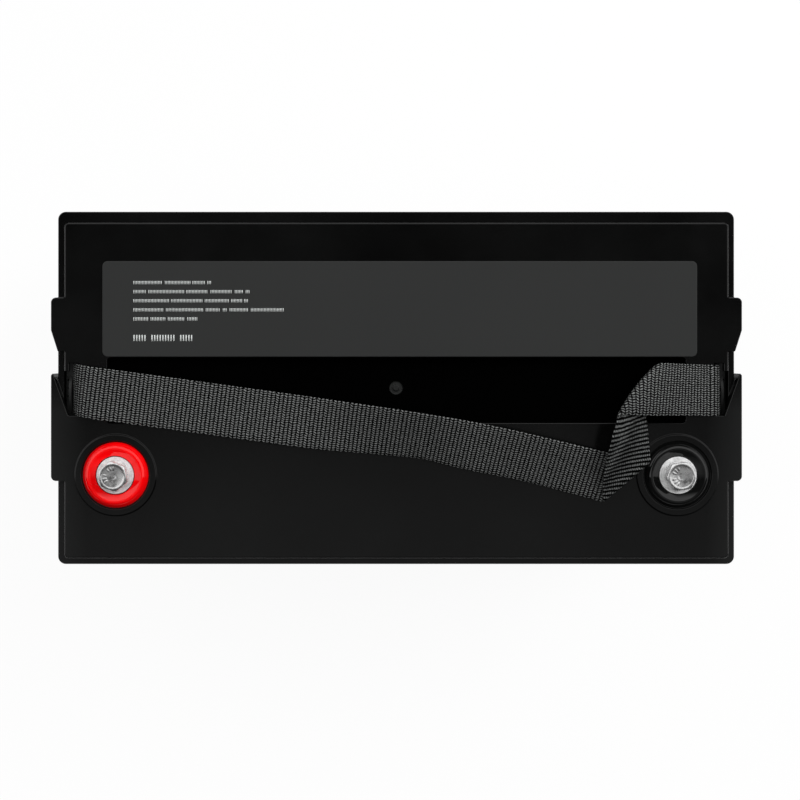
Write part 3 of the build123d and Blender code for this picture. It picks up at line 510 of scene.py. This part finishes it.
def terminal_ring(name):
    """The dished ring that colours one terminal, revolved round its axis."""
    low, high = corner(f"terminal_ring_{name}", 0), corner(f"terminal_ring_{name}", 1)
    inner = outer_radius(f"flat_washer_{name}") + WASHER_CLEARANCE
    profile = ring_profile(low[2], inner, outer_radius(f"terminal_ring_{name}"), high[2])
    return revolved(f"ring_{name}", profile, terminal[name], turns=192)


def flat_washer(name):
    """A pressed washer whose rim turns up like a shallow cup: a rounded section revolved."""
    low, high = corner(f"flat_washer_{name}", 0)[2], corner(f"flat_washer_{name}", 1)[2]
    outer = outer_radius(f"flat_washer_{name}")
    corners = [
        (BORE, low),
        (outer - 0.5, low),
        (outer, low + 0.5),
        (outer, high + 0.15),
        (outer - 0.45, high + 0.15),
        (outer - 1.9, high - 0.5),
        (BORE, high - 0.5),
    ]
    profile = rounded(corners, [0.1, 0.3, 0.3, 0.2, 0.2, 1.2, 0.15])
    return revolved(f"washer_{name}", profile, terminal[name])


def spring_washer(name):
    """A split ring: a square section carried round an axis, cut at a slant."""
    bottom = corner(f"spring_washer_{name}", 0)[2] - 0.4
    top = corner(f"spring_washer_{name}", 1)[2] - 0.03
    inner, outer = 4.4, outer_radius(f"spring_washer_{name}") - 0.02
    section = rounded(
        [(inner, bottom), (outer, bottom), (outer, top), (inner, top)],
        [0.2, 0.35, 0.35, 0.2],
        steps=5,
    )
    share = np.linspace(0, 1, 90)[:, None]
    half_gap = 0.06
    slant = (section[:, 1] - section[:, 1].mean())[None, :] * half_gap
    angle = -np.pi / 2 + half_gap + share * (2 * np.pi - 2 * half_gap) + slant
    x = terminal[name][0] + section[:, 0][None, :] * np.cos(angle)
    y = terminal[name][1] + section[:, 0][None, :] * np.sin(angle)
    z = np.repeat(section[:, 1][None, :], len(angle), axis=0)
    mesh = capped_grid(f"split_washer_{name}", np.stack([x, y, z], axis=-1))
    return tidy(new_object(f"split_washer_{name}", mesh))


def hexagon_radius(angle, turn):
    """Distance from the axis to a hexagon's side at each angle, with the corners eased by a smooth share."""
    from_flat = (angle - turn + np.pi / 6) % (np.pi / 3) - np.pi / 6
    sharp = HALF_FLAT / np.cos(from_flat)
    ease_from = 7.15
    return sharp - 0.5 * smoothstep((sharp - ease_from) / 0.36) * (sharp - ease_from)


def head_face(angle, turn, hexagon):
    """Radius and height of the head's top: a dish, a flat land and a chamfer down to the hexagon.

    The dish is a parabola of radius, with a smooth step at its rim and a smaller one at its middle.
    A few raised dashes in it stand where a bolt has its marks."""
    dish_steps = np.concatenate([[0.2], np.arange(0.6, DISH_RADIUS, 0.35), [DISH_RADIUS, 5.75, 5.95]])
    rows = [np.full(len(angle), step) for step in dish_steps]
    rows += [CHAMFER_RADIUS + (hexagon - CHAMFER_RADIUS) * step for step in (0.0, 0.15, 0.4, 0.7, 0.93)]
    radius = np.array(rows)
    top = head_top - np.maximum(radius - CHAMFER_RADIUS, 0) * np.tan(np.radians(CHAMFER_ANGLE))
    top -= DISH_DEPTH * np.clip(1 - (radius / DISH_RADIUS) ** 2, 0, 1)
    top -= 0.12 * (1 - smoothstep((radius - DISH_RADIUS + 0.3) / 0.5))
    top -= 0.12 * (1 - smoothstep((radius - 1.1) / 0.5))
    for mark in MARK_ANGLES:
        off_mark = (angle - turn - np.radians(mark) + np.pi) % (2 * np.pi) - np.pi
        rise_at_mark = smoothstep((0.5 - np.abs(off_mark) * radius) / 0.3)
        rise_at_mark *= smoothstep((radius - 2.9) / 0.35) * smoothstep((4.7 - radius) / 0.35)
        top += 0.22 * rise_at_mark
    return radius, top


def shank(angle):
    """Radius and height of the thread: a triangle wave of height less angle, faded out at both ends."""
    level = np.arange(head_bottom - 0.4, bolt_tip + 0.25, -THREAD_PITCH / 8)[:, None]
    wave = np.abs(((level / THREAD_PITCH - angle / (2 * np.pi)) % 1) - 0.5) * 2
    fade = smoothstep((head_bottom - 0.8 - level) / 1.2) * smoothstep((level - bolt_tip) / 1.4)
    groove = THREAD_DEPTH * np.clip(wave * 1.25 - 0.1, 0, 1) * fade
    radius = THREAD_RADIUS - groove - 0.5 * (1 - smoothstep((level - bolt_tip) / 1.2))
    return radius, np.repeat(level, len(angle), axis=1)


def bolt(name, turn):
    """A hexagon bolt: rows of radius and height over angle, from the head's middle to the shank's tip."""
    columns = 288
    angle = np.linspace(0, 2 * np.pi, columns, endpoint=False)
    hexagon = hexagon_radius(angle, turn)
    radius, height = head_face(angle, turn, hexagon)
    rim = height[-1]
    side_rows = [
        (hexagon - 0.02, rim - 0.12),
        (hexagon, rim - 0.35),
        (hexagon, np.full(columns, head_bottom + 0.3)),
        (hexagon - 0.15, np.full(columns, head_bottom + 0.05)),
        (np.full(columns, 6.1), np.full(columns, head_bottom)),
        (np.full(columns, 4.2), np.full(columns, head_bottom)),
    ]
    shank_radius, shank_height = shank(angle)
    tip = (np.full(columns, 2.6), np.full(columns, bolt_tip + 0.02))
    radius = np.vstack([radius, [row[0] for row in side_rows], shank_radius, tip[0]])
    height = np.vstack([height, [row[1] for row in side_rows], shank_height, tip[1]])
    x = terminal[name][0] + radius * np.cos(angle)
    y = terminal[name][1] + radius * np.sin(angle)
    mesh = capped_grid(f"hex_bolt_{name}", np.stack([x, y, height], axis=-1))
    return tidy(new_object(f"hex_bolt_{name}", mesh), merge=1e-7)


# ---------------------------------------------------------------- label
LABEL_CORNER = 2.5
LABEL_MARGIN = 15.0  # from the label's left edge to its print
INK_THICK = 0.03


def label_film():
    """The label: a rounded plate whose edge rolls over into its side, as outlines at rising levels."""
    low, high = corner("label", 0), corner("label", 1)
    bottom, top = low[2], high[2]
    loops = []
    for inset, level in ((0, bottom), (0, top - 0.1), (0.04, top - 0.03), (0.12, top), (0.5, top)):
        left, front = low[:2] + inset
        right, back = high[:2] - inset
        corners = [(left, front), (right, front), (right, back), (left, back)]
        outline = rounded(corners, [LABEL_CORNER - inset] * 4, steps=10)
        loops.append(np.column_stack([outline, np.full(len(outline), level)]))
    piece = new_object("label_film", capped_grid("label_film", np.array(loops)))
    return tidy(piece)


def print_rows():
    """Plain printed bars where a label has its lines, as rows of dashes with no letters.

    Each row has its drop from the label's back edge, its height and the length of each word. A dash
    is a fifth of the row's height wide."""
    left, top = corner("label", 0)[0] + LABEL_MARGIN, corner("label", 1)[1]
    rows = [
        (10.4, 1.6, (14, 12, 6.0, 2)),
        (14.8, 1.6, (6.0, 17.0, 10.5, 10.5, 4, 2)),
        (19.2, 1.6, (17.0, 15.0, 11.5, 5, 2)),
        (23.6, 1.6, (14.5, 18.0, 7, 2, 9, 16)),
        (28.0, 1.7, (7, 7, 8, 5)),
        (37.2, 3.0, (6.3, 11.5, 5.5)),
    ]
    bars = []
    for drop, tall, words in rows:
        x = left
        stroke, pitch = 0.2 * tall, 0.44 * tall
        for word in words:
            starts = np.arange(x, x + word, pitch)
            low, high = top - drop - tall / 2, top - drop + tall / 2
            bars += [(start, low, start + stroke, high) for start in starts]
            x += word + 0.8 * tall
    bars = np.array(bars)
    level = corner("label", 1)[2] + INK_THICK / 2
    corners = np.stack([bars[:, [0, 1]], bars[:, [2, 1]], bars[:, [2, 3]], bars[:, [0, 3]]], axis=1)
    points = np.concatenate([corners, np.full(corners.shape[:2] + (1,), level)], axis=-1)
    faces = np.arange(len(bars) * 4).reshape(-1, 4)
    piece = new_object("print_rows", quad_mesh("print_rows", points, faces), smooth=False)
    thick = piece.modifiers.new("ink", "SOLIDIFY")
    thick.thickness = INK_THICK * MM
    thick.offset = 0
    return piece


# ---------------------------------------------------------------- strap
RIB_PITCH = 2.0
YARN_PITCH = 1.1
STRAP_WIDTH = 24.9
STRAP_THICK = 1.3
RIB_RELIEF = 0.32
DECK_GAP = 0.3  # the least space between the strap and the deck
REVERSE = 11.0  # what the reverse face adds to V, in centimetres

strap_floor = deck_level + DECK_GAP + STRAP_THICK / 2


def heading(angle):
    """A unit vector in plan at an angle in degrees."""
    return np.array([np.cos(np.radians(angle)), np.sin(np.radians(angle))])


class Lie:
    """How the strap lies: a long run, a lower fold, a cross run, an upper fold and a short run.

    Places are in plan, in millimetres. Angles are headings in plan, in degrees."""

    # The long run: its back edge's start, and how its heading turns on the way
    back_start = np.array([-slot_face - 0.75, 11.75])
    start_angle = -7.8
    run_turn = -6.0
    turn_from = 140.0
    turn_over = 110.0
    run_angle = start_angle + run_turn
    run_length = 283.0
    left_arch = 4.5
    # How far the long run leans up towards its back edge, at shares of its length
    lean_share = [0, 0.40, 0.52, 0.62, 0.70, 0.80, 0.92, 1.0]
    lean_angle = [0, 2, 20, 28, 18, 22, 18, 8]
    # The lower fold and the cross run, which rises from it to these heights at its two edges
    low_middle = np.array([109.3, -45.6])
    low_radius = 1.2
    cross_angle = 97.0
    low_crease = (run_angle + cross_angle) / 2
    left_height = 14.5
    right_height = 2.5
    # The upper fold and the short run, which comes down to the deck before its slot
    high_crease = cross_angle / 2
    high_radius = 1.6
    bulge = 2.0
    short_middle = -1.1
    landing = 151.0
    # The bends down into the slots, and what the strap has below them and past the folds
    left_bend = 13.0
    right_bend = 5.6
    spare_start = 16.0
    spare_end = 130.0


def across_of(direction):
    """The unit vector a quarter turn clockwise from a direction in plan."""
    return np.array([direction[1], -direction[0]])


def folded(plan, pivot, crease, radius, where=True):
    """Wrap what lies past a crease round a half-tube of the given radius, and back over the rest.

    The distance past the crease, d, becomes radius*sin(d/radius) up to half a turn, and then
    runs back; the height rises by radius*(1 - cos(d/radius))."""
    along = heading(crease)
    out = across_of(along)
    distance = (plan - pivot) @ out
    length = (plan - pivot) @ along
    wrap = np.where(where, np.clip(distance / radius, 0, np.pi), 0)
    past = np.where(where, np.maximum(distance - np.pi * radius, 0), 0)
    reach = np.where(wrap > 0, radius * np.sin(wrap) - past, distance)
    plan = pivot + length[..., None] * along + reach[..., None] * out
    return plan, radius * (1 - np.cos(wrap)), np.where(where, distance, -99.0), length


def rise(plan, low_line):
    """Height and sideways shift of the cross run over its flat lie, at places in plan.

    With t the distance past the lower crease and q the distance right of the run's middle line,
    the height eases from nothing to an arched slope, high on the left and falling ever steeper
    to the right, and both edges move right as the slope draws the strap in."""
    ahead = heading(Lie.cross_angle)
    right = across_of(ahead)
    out = across_of(heading(Lie.low_crease))
    t = ((plan - low_line) @ out) / (ahead @ out)
    q = (plan - low_line) @ right
    half = STRAP_WIDTH / 2
    rightness = np.clip((q + half) / STRAP_WIDTH, 0, 1)
    base = rightness * STRAP_WIDTH * np.sin(np.radians(Lie.lean_angle[-1]))
    target = Lie.left_height + (Lie.right_height - Lie.left_height) * rightness**1.7
    height = smoothstep(t / 30) * (target - base)
    left_shift = 8.6 * np.clip(t / 39, 0, 1) ** 2.3
    right_shift = 0.6 * smoothstep(t / 20) + 7.9 * smoothstep((t - 22) / 24)
    shift = left_shift + (right_shift - left_shift) * rightness
    return height, shift[..., None] * right


def long_run(s, v):
    """The strap before it is folded: its plan, its level and the middle of its far end.

    The back edge is a curve whose heading eases from one angle to another. Each crosswise line leans
    up towards that edge, by an angle read off along the run and smoothed."""
    half = STRAP_WIDTH / 2
    angle = np.radians(Lie.start_angle + Lie.run_turn * smoothstep((s - Lie.turn_from) / Lie.turn_over))
    direction = np.column_stack([np.cos(angle), np.sin(angle)])
    travel = np.vstack([np.zeros((1, 2)), np.cumsum(direction[1:] * np.diff(s)[:, None], axis=0)])
    at_start = np.array([np.interp(0, s, travel[:, k]) for k in (0, 1)])
    back = Lie.back_start + travel - at_start
    normal = np.column_stack([-direction[:, 1], direction[:, 0]])
    lean = np.radians(np.interp(s / Lie.run_length, Lie.lean_share, Lie.lean_angle))
    window = np.hanning(81)
    lean = np.convolve(np.pad(lean, 40, mode="edge"), window / window.sum(), mode="valid")[:, None]
    plan = back[:, None, :] + ((v[None, :] - half) * np.cos(lean))[..., None] * normal[:, None, :]
    off_deck = 0.5 * smoothstep(s[:, None] / 60) + Lie.left_arch * (1 - smoothstep(s[:, None] / 45))
    level = strap_floor + off_deck + (v[None, :] + half) * np.sin(lean)
    end_middle = back[-1] - half * np.cos(lean[-1]) * normal[-1]
    return plan, level, end_middle


def bent_into_slots(points):
    """The strap with both ends turned down.

    Past a bend's start, the run follows a quarter circle and then falls straight."""
    centre_plane = slot_face + STRAP_THICK / 2
    for side, radius in ((-1, Lie.left_bend), (1, Lie.right_bend)):
        reach = side * points[..., 0] - (centre_plane - radius)
        turn = np.clip(reach / radius, 0, np.pi / 2)
        below = np.maximum(reach - radius * np.pi / 2, 0)
        bent = side * (centre_plane - radius + radius * np.sin(turn))
        dropped = points[..., 2] - radius * (1 - np.cos(turn)) - below
        points[..., 0] = np.where(reach > 0, bent, points[..., 0])
        points[..., 2] = np.where(reach > 0, dropped, points[..., 2])
    return points


def strap_grid(along_steps, across_steps):
    """Middle surface of the strap: grid points, with the distance along and across as its U and V.

    The long run is wrapped round the lower fold and then the upper one, raised over the cross run and
    bent down at both ends. The upper fold is placed so that the short run meets its slot."""
    half = STRAP_WIDTH / 2
    s = np.linspace(-Lie.spare_start, Lie.run_length + Lie.spare_end, along_steps)
    v = half * np.sin(np.linspace(-0.5, 0.5, across_steps) * np.pi)
    plan, level, run_middle = long_run(s, v)
    # The lower fold
    out_low = across_of(heading(Lie.low_crease))
    pivot_low = Lie.low_middle - Lie.low_radius * out_low
    plan, lift, past_low, _ = folded(plan, pivot_low, Lie.low_crease, Lie.low_radius)
    level = level + lift
    low_half_turn = np.pi * Lie.low_radius / 2
    on_cross = past_low > low_half_turn
    run = heading(Lie.run_angle)
    to_line = (pivot_low + out_low * low_half_turn - run_middle) @ out_low / (run @ out_low)
    low_line = run_middle + run * to_line
    # The upper fold
    out_high = across_of(heading(Lie.high_crease + 180))
    climb = (Lie.short_middle - low_line[1]) / np.sin(np.radians(Lie.cross_angle))
    high_line = low_line + climb * heading(Lie.cross_angle)
    high_half_turn = np.pi * Lie.high_radius / 2
    pivot_high = high_line - out_high * high_half_turn
    beyond_low = past_low > 12
    high_fold = (pivot_high, Lie.high_crease + 180, Lie.high_radius)
    plan, lift, past_high, length = folded(plan, *high_fold, beyond_low)
    level = level + lift
    # Heights over the cross run carry on down the short run to its slot
    on_short = past_high > high_half_turn
    rim = pivot_high + Lie.high_radius * out_high
    crease_x = rim[0] + (plan[..., 1] - rim[1]) / np.tan(np.radians(Lie.high_crease))
    at_crease = np.stack([crease_x, plan[..., 1]], axis=-1)
    height, shift = rise(np.where(on_short[..., None], at_crease, plan), low_line)
    height = np.where(on_cross, height, 0)
    shift = np.where(on_cross[..., None], shift, 0)
    down = np.clip((plan[..., 0] - crease_x) / (Lie.landing - crease_x), 0, 1)
    stay = np.where(on_short, (1 - down) ** 1.35, 1.0)
    level = np.where(on_short, strap_floor + (level + height - strap_floor) * stay, level + height)
    plan = plan + shift * np.where(on_short, 1 - down, 1.0)[..., None]
    # The upper fold swells outwards in its middle
    span = half / np.sin(np.radians(Lie.high_crease))
    swell = Lie.bulge * np.clip(1 - (length / span) ** 2, 0, 1)
    swell = swell * np.exp(-(((past_high - high_half_turn) / 8.0) ** 2))
    plan = plan + swell[..., None] * out_high
    # How much further a yarn runs over the rise than straight across it
    points = np.concatenate([plan, level[..., None]], axis=-1)
    steps = np.linalg.norm(np.diff(points, axis=0), axis=-1) - (s[1] - s[0])
    climbing = (past_low[1:] > 4) & (past_high[1:] < -2)
    extra = np.vstack([np.zeros((1, len(v))), np.cumsum(np.where(climbing, steps, 0), axis=0)])
    extra = 0.6 * extra * (1 - smoothstep((past_high + 12) / 24))
    uv = np.stack(np.broadcast_arrays((s[:, None] + extra) * CM, v[None, :] * CM), axis=-1)
    return bent_into_slots(points), uv, s, v


def surface_normals(points):
    """Unit normals of a grid from the cross product of its two differences."""
    du = np.gradient(points, axis=0)
    dv = np.gradient(points, axis=1)
    normal = np.cross(du, dv)
    return normal / np.maximum(np.linalg.norm(normal, axis=-1, keepdims=True), 1e-12)


def webbing():
    """The strap and its length: two faces of the middle surface, ribbed and joined round both selvedges.

    Half the thickness is less by a rib's relief in each groove, and thins at the selvedges by a high
    power of the distance across."""
    points, uv, s, v = strap_grid(1560, 29)
    keep = points[..., 2].max(axis=1) > corner("strap", 0)[2]
    first, last = np.flatnonzero(keep)[0], np.flatnonzero(keep)[-1] + 1
    points, uv, s = points[first:last], uv[first:last], s[first:last]
    normal = surface_normals(points)
    rib = np.sin(np.pi * ((s / RIB_PITCH) % 1)) ** 0.6
    edge = np.sqrt(np.clip(1 - (np.abs(v) / (STRAP_WIDTH / 2)) ** 14, 0, 1))
    bulk = (STRAP_THICK / 2 - RIB_RELIEF * (1 - rib[:, None])) * np.maximum(edge[None, :], 0.25)
    upper = points + normal * bulk[..., None]
    lower = points - normal * bulk[..., None]
    loop = np.concatenate([upper, lower[:, ::-1]], axis=1)
    around = np.concatenate([uv, uv[:, ::-1] + (0, REVERSE)], axis=1)
    rows, columns = loop.shape[:2]
    faces = grid_faces(rows, columns)
    start = np.arange(columns // 2 - 1)
    for row in (0, rows - 1):
        near = row * columns + start
        far = row * columns + columns - 1 - start
        end = np.stack([near, near + 1, far - 1, far], axis=1)
        faces = np.vstack([faces, end if row else end[:, ::-1]])
    piece = new_object("webbing", quad_mesh("webbing", loop, faces, around))
    return piece, float(s[-1] - s[0])


# ---------------------------------------------------------------- making
def paint(piece, material):
    """Give a piece one material in place of any it has."""
    piece.data.materials.clear()
    piece.data.materials.append(material)


def stand_for(piece, node, body, material):
    """A piece that takes a CAD node's place on its body."""
    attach(piece, body)
    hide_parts(node)
    paint(piece, material)


# The shell's third tone, grey(0.008), is painted light on the lid's two front corners.
black_shell = moulded(
    "shell_plastic", grey(0.0009), grey(0.0028), rough=(0.14, 0.2), specular=0.45, corners=grey(0.008)
)
gate_finish = moulded("gate_finish", grey(0.005), grey(0.018), rough=(0.3, 0.45), specular=0.3)
# Painted shade: the channel and wells are painted near black, with almost no reflection, for the shade that
# falls in them.
channel_painted_shade = moulded("channel_painted_shade", grey(0.0002), grey(0.0004), rough=(0.5, 0.6), specular=0.006)
black_case = moulded("case_plastic", grey(0.003), grey(0.004), rough=(0.36, 0.46), grain=0.00005)
film = printed_film("label_film", grey(0.0195), grey(0.0208))
ink = printed_film("label_ink", grey(0.6), grey(0.7))
red = glossy("red_plastic", (0.95, 0.0, 0.0015, 1), (0.91, 0.0, 0.0015, 1), specular=0.6)
black_gloss = glossy("black_plastic", grey(0.003), grey(0.004), specular=0.52)
zinc = plated("zinc", (0.9, 0.9, 0.9, 1), rough=(0.2, 0.34), metallic=0.95)
dull_zinc = plated("dull_zinc", (0.97, 0.97, 0.97, 1), rough=(0.42, 0.55), metallic=0.45)
strap_cloth = woven("webbing")

lid_shell = softened("lid", "lid_shell", 0.45)
stand_for(lid_shell, "lid", "battery", black_shell)
lid_shell.data.materials.append(channel_painted_shade)
lid_shell.data.materials.append(gate_finish)
sunk_faces(lid_shell.data)
stand_for(softened("case", "case_shell", 0.6), "case", "battery", black_case)
stand_for(label_film(), "label", "battery", film)
rows = print_rows()
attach(rows, "battery")
paint(rows, ink)

TERMINALS = {"positive": (9.5, "red_plastic", red), "negative": (38.0, "black_plastic", black_gloss)}
for name, (turn, ring_slot, ring_plastic) in TERMINALS.items():
    stand_for(terminal_ring(name), f"terminal_ring_{name}", "battery", ring_plastic)
    stand_for(flat_washer(name), f"flat_washer_{name}", f"washers_{name}", dull_zinc)
    stand_for(spring_washer(name), f"spring_washer_{name}", f"washers_{name}", dull_zinc)
    head = bolt(name, np.radians(turn))
    stand_for(head, f"terminal_bolt_{name}", f"bolt_{name}", zinc)

strap, strap_length = webbing()
stand_for(strap, "strap", "carry_strap", strap_cloth)

INNER = {
    "seal_rubber": rubbery("seal_rubber", grey(0.01), grey(0.03)),
    "brass": turned("brass", (0.78, 0.57, 0.25, 1)),
    "cell_can": printed_film("cell_film", (0.02, 0.09, 0.3, 1), (0.03, 0.11, 0.34, 1)),
    "bright_aluminium": turned("aluminium", (0.8, 0.81, 0.82, 1), 0.3),
    "insulator": laminate("glass_laminate", (0.35, 0.42, 0.2, 1), (0.5, 0.56, 0.33, 1)),
    "band_steel": turned("band_steel", (0.55, 0.56, 0.58, 1), 0.3),
    "foam": cellular("foam", grey(0.01), grey(0.035)),
    "circuit_board": laminate("solder_mask", (0.004, 0.05, 0.02, 1), (0.01, 0.09, 0.035, 1)),
    "tinned_lug": turned("tinned_copper", (0.72, 0.71, 0.68, 1), 0.28),
    "cable_red": rubbery("red_silicone", (0.35, 0.005, 0.005, 1), (0.5, 0.02, 0.02, 1)),
    "cable_black": rubbery("black_silicone", grey(0.008), grey(0.02)),
    "white_plastic": moulded("white_plastic", (0.68, 0.67, 0.62, 1), (0.75, 0.74, 0.7, 1)),
    "anchor_plastic": moulded("anchor_plastic", grey(0.004), grey(0.02), rough=(0.25, 0.6), grain=0.0001),
    "zinc_steel": zinc,
    "black_plastic": black_gloss,
    "red_plastic": red,
    "lid_plastic": black_shell,
    "case_plastic": black_case,
    "label_film": film,
    "webbing": strap_cloth,
}
for entry in frame["record"]["subparts"]:
    paint(NODES[entry["node"]], INNER[entry["material_slot"]])


# ---------------------------------------------------------------- stage, light and camera
LID_MIDDLE = (0, 0, 0.2)
FLOOR_SIDE = 4000
FLOOR_GLOW = 0.93
DOME_LEVEL = 1.0
NEAR_LEVEL = 0.24
DARK_LEVEL = 0.03


def card(name, place, size, power):
    """A rectangular softbox that faces the lid, and that reflections don't show."""
    lamp = bpy.data.lights.new(name, "AREA")
    lamp.shape = "RECTANGLE"
    lamp.size, lamp.size_y = size
    lamp.energy = power
    piece = bpy.data.objects.new(name, lamp)
    piece.location = place
    piece.rotation_euler = (Vector(LID_MIDDLE) - Vector(place)).to_track_quat("-Z", "Y").to_euler()
    piece.visible_glossy = False
    bpy.context.scene.collection.objects.link(piece)


def white_stage():
    """A plain floor that reads white to the camera and in reflections, and still takes a shadow."""
    side = FLOOR_SIDE
    corners = [(-side, -side, 0), (side, -side, 0), (side, side, 0), (-side, side, 0)]
    floor = new_object("floor", quad_mesh("floor", corners, [[0, 1, 2, 3]]), smooth=False)
    r = Recipe("floor", Base_Color=(0.97, 0.97, 0.97, 1), Roughness=0.9, Specular_IOR_Level=0.0)
    path = r.tree.nodes.new("ShaderNodeLightPath")
    glow = r.tree.nodes.new("ShaderNodeEmission")
    glow.inputs["Color"].default_value = (1, 1, 1, 1)
    glow.inputs["Strength"].default_value = 1.0
    mix = r.tree.nodes.new("ShaderNodeMixShader")
    seen = r.math("MAXIMUM", path.outputs["Is Camera Ray"], path.outputs["Is Glossy Ray"])
    seen = r.math("MAXIMUM", seen, path.outputs["Is Transmission Ray"])
    r.link(r.math("MULTIPLY", seen, FLOOR_GLOW), mix.inputs[0])
    r.link(r.shader.outputs[0], mix.inputs[1])
    r.link(glow.outputs[0], mix.inputs[2])
    r.link(mix.outputs[0], r.tree.nodes["Material Output"].inputs["Surface"])
    paint(floor, r.material)


def studio_world():
    """A studio that is dark overhead, with a bright half-dome behind the object and a soft glow in front.

    The dome begins 22 degrees from the zenith at the sides and 16 degrees at the back."""
    world = bpy.data.worlds.new("studio")
    bpy.context.scene.world = world
    world.use_nodes = True
    r = Nodes(world.node_tree)
    x, y, z = r.split(r.place.outputs["Generated"])
    side = r.math("MULTIPLY", r.spread(z, 0, 1, (0.93, 0.88)), r.spread(y, 0, 1, (-0.17, -0.12)))
    behind = r.spread(y, 0, 1, (0.27, 0.4))
    dome = r.math("MULTIPLY", r.math("MAXIMUM", side, behind), DOME_LEVEL)
    dome = r.math("MULTIPLY", dome, r.spread(z, 0, 1, (0.1, 0.2)))
    near = r.math("MULTIPLY", r.spread(y, 0, 1, (-0.01, -0.13)), r.spread(y, 0, 1, (-0.5, -0.3)))
    near = r.math("MULTIPLY", near, r.spread(r.math("ABSOLUTE", x), 1, 0, (0.25, 0.5)))
    level = r.math("ADD", r.math("MULTIPLY", near, NEAR_LEVEL), DARK_LEVEL)
    level = r.math("MAXIMUM", level, dome)
    path = r.tree.nodes.new("ShaderNodeLightPath")
    shown = r.blend(path.outputs["Is Camera Ray"], level, (1, 1, 1, 1))
    r.link(shown, r.tree.nodes["Background"].inputs["Color"])


def overhead_camera():
    """A camera straight above, a little to the left and back of centre, shifted to frame the lid."""
    height = 0.64
    field = 0.3904
    sensor = 36
    aim = (0.0019, -0.0059)
    place = (-0.022, 0.017)
    data = bpy.data.cameras.new("camera")
    data.sensor_width = sensor
    data.lens = sensor * height / field
    data.shift_x = (aim[0] - place[0]) / field
    data.shift_y = (aim[1] - place[1]) / field
    camera = bpy.data.objects.new("camera", data)
    camera.location = (*place, ledge_level * MM + height)
    bpy.context.scene.collection.objects.link(camera)
    bpy.context.scene.camera = camera


white_stage()
studio_world()
card("overhead_fill", (-0.1, 0.1, 1.9), (1.2, 1.0), 10)
card("right_fill", (1.0, 0.55, 1.3), (0.8, 0.6), 11)
overhead_camera()
bpy.context.scene.view_settings.view_transform = "Standard"
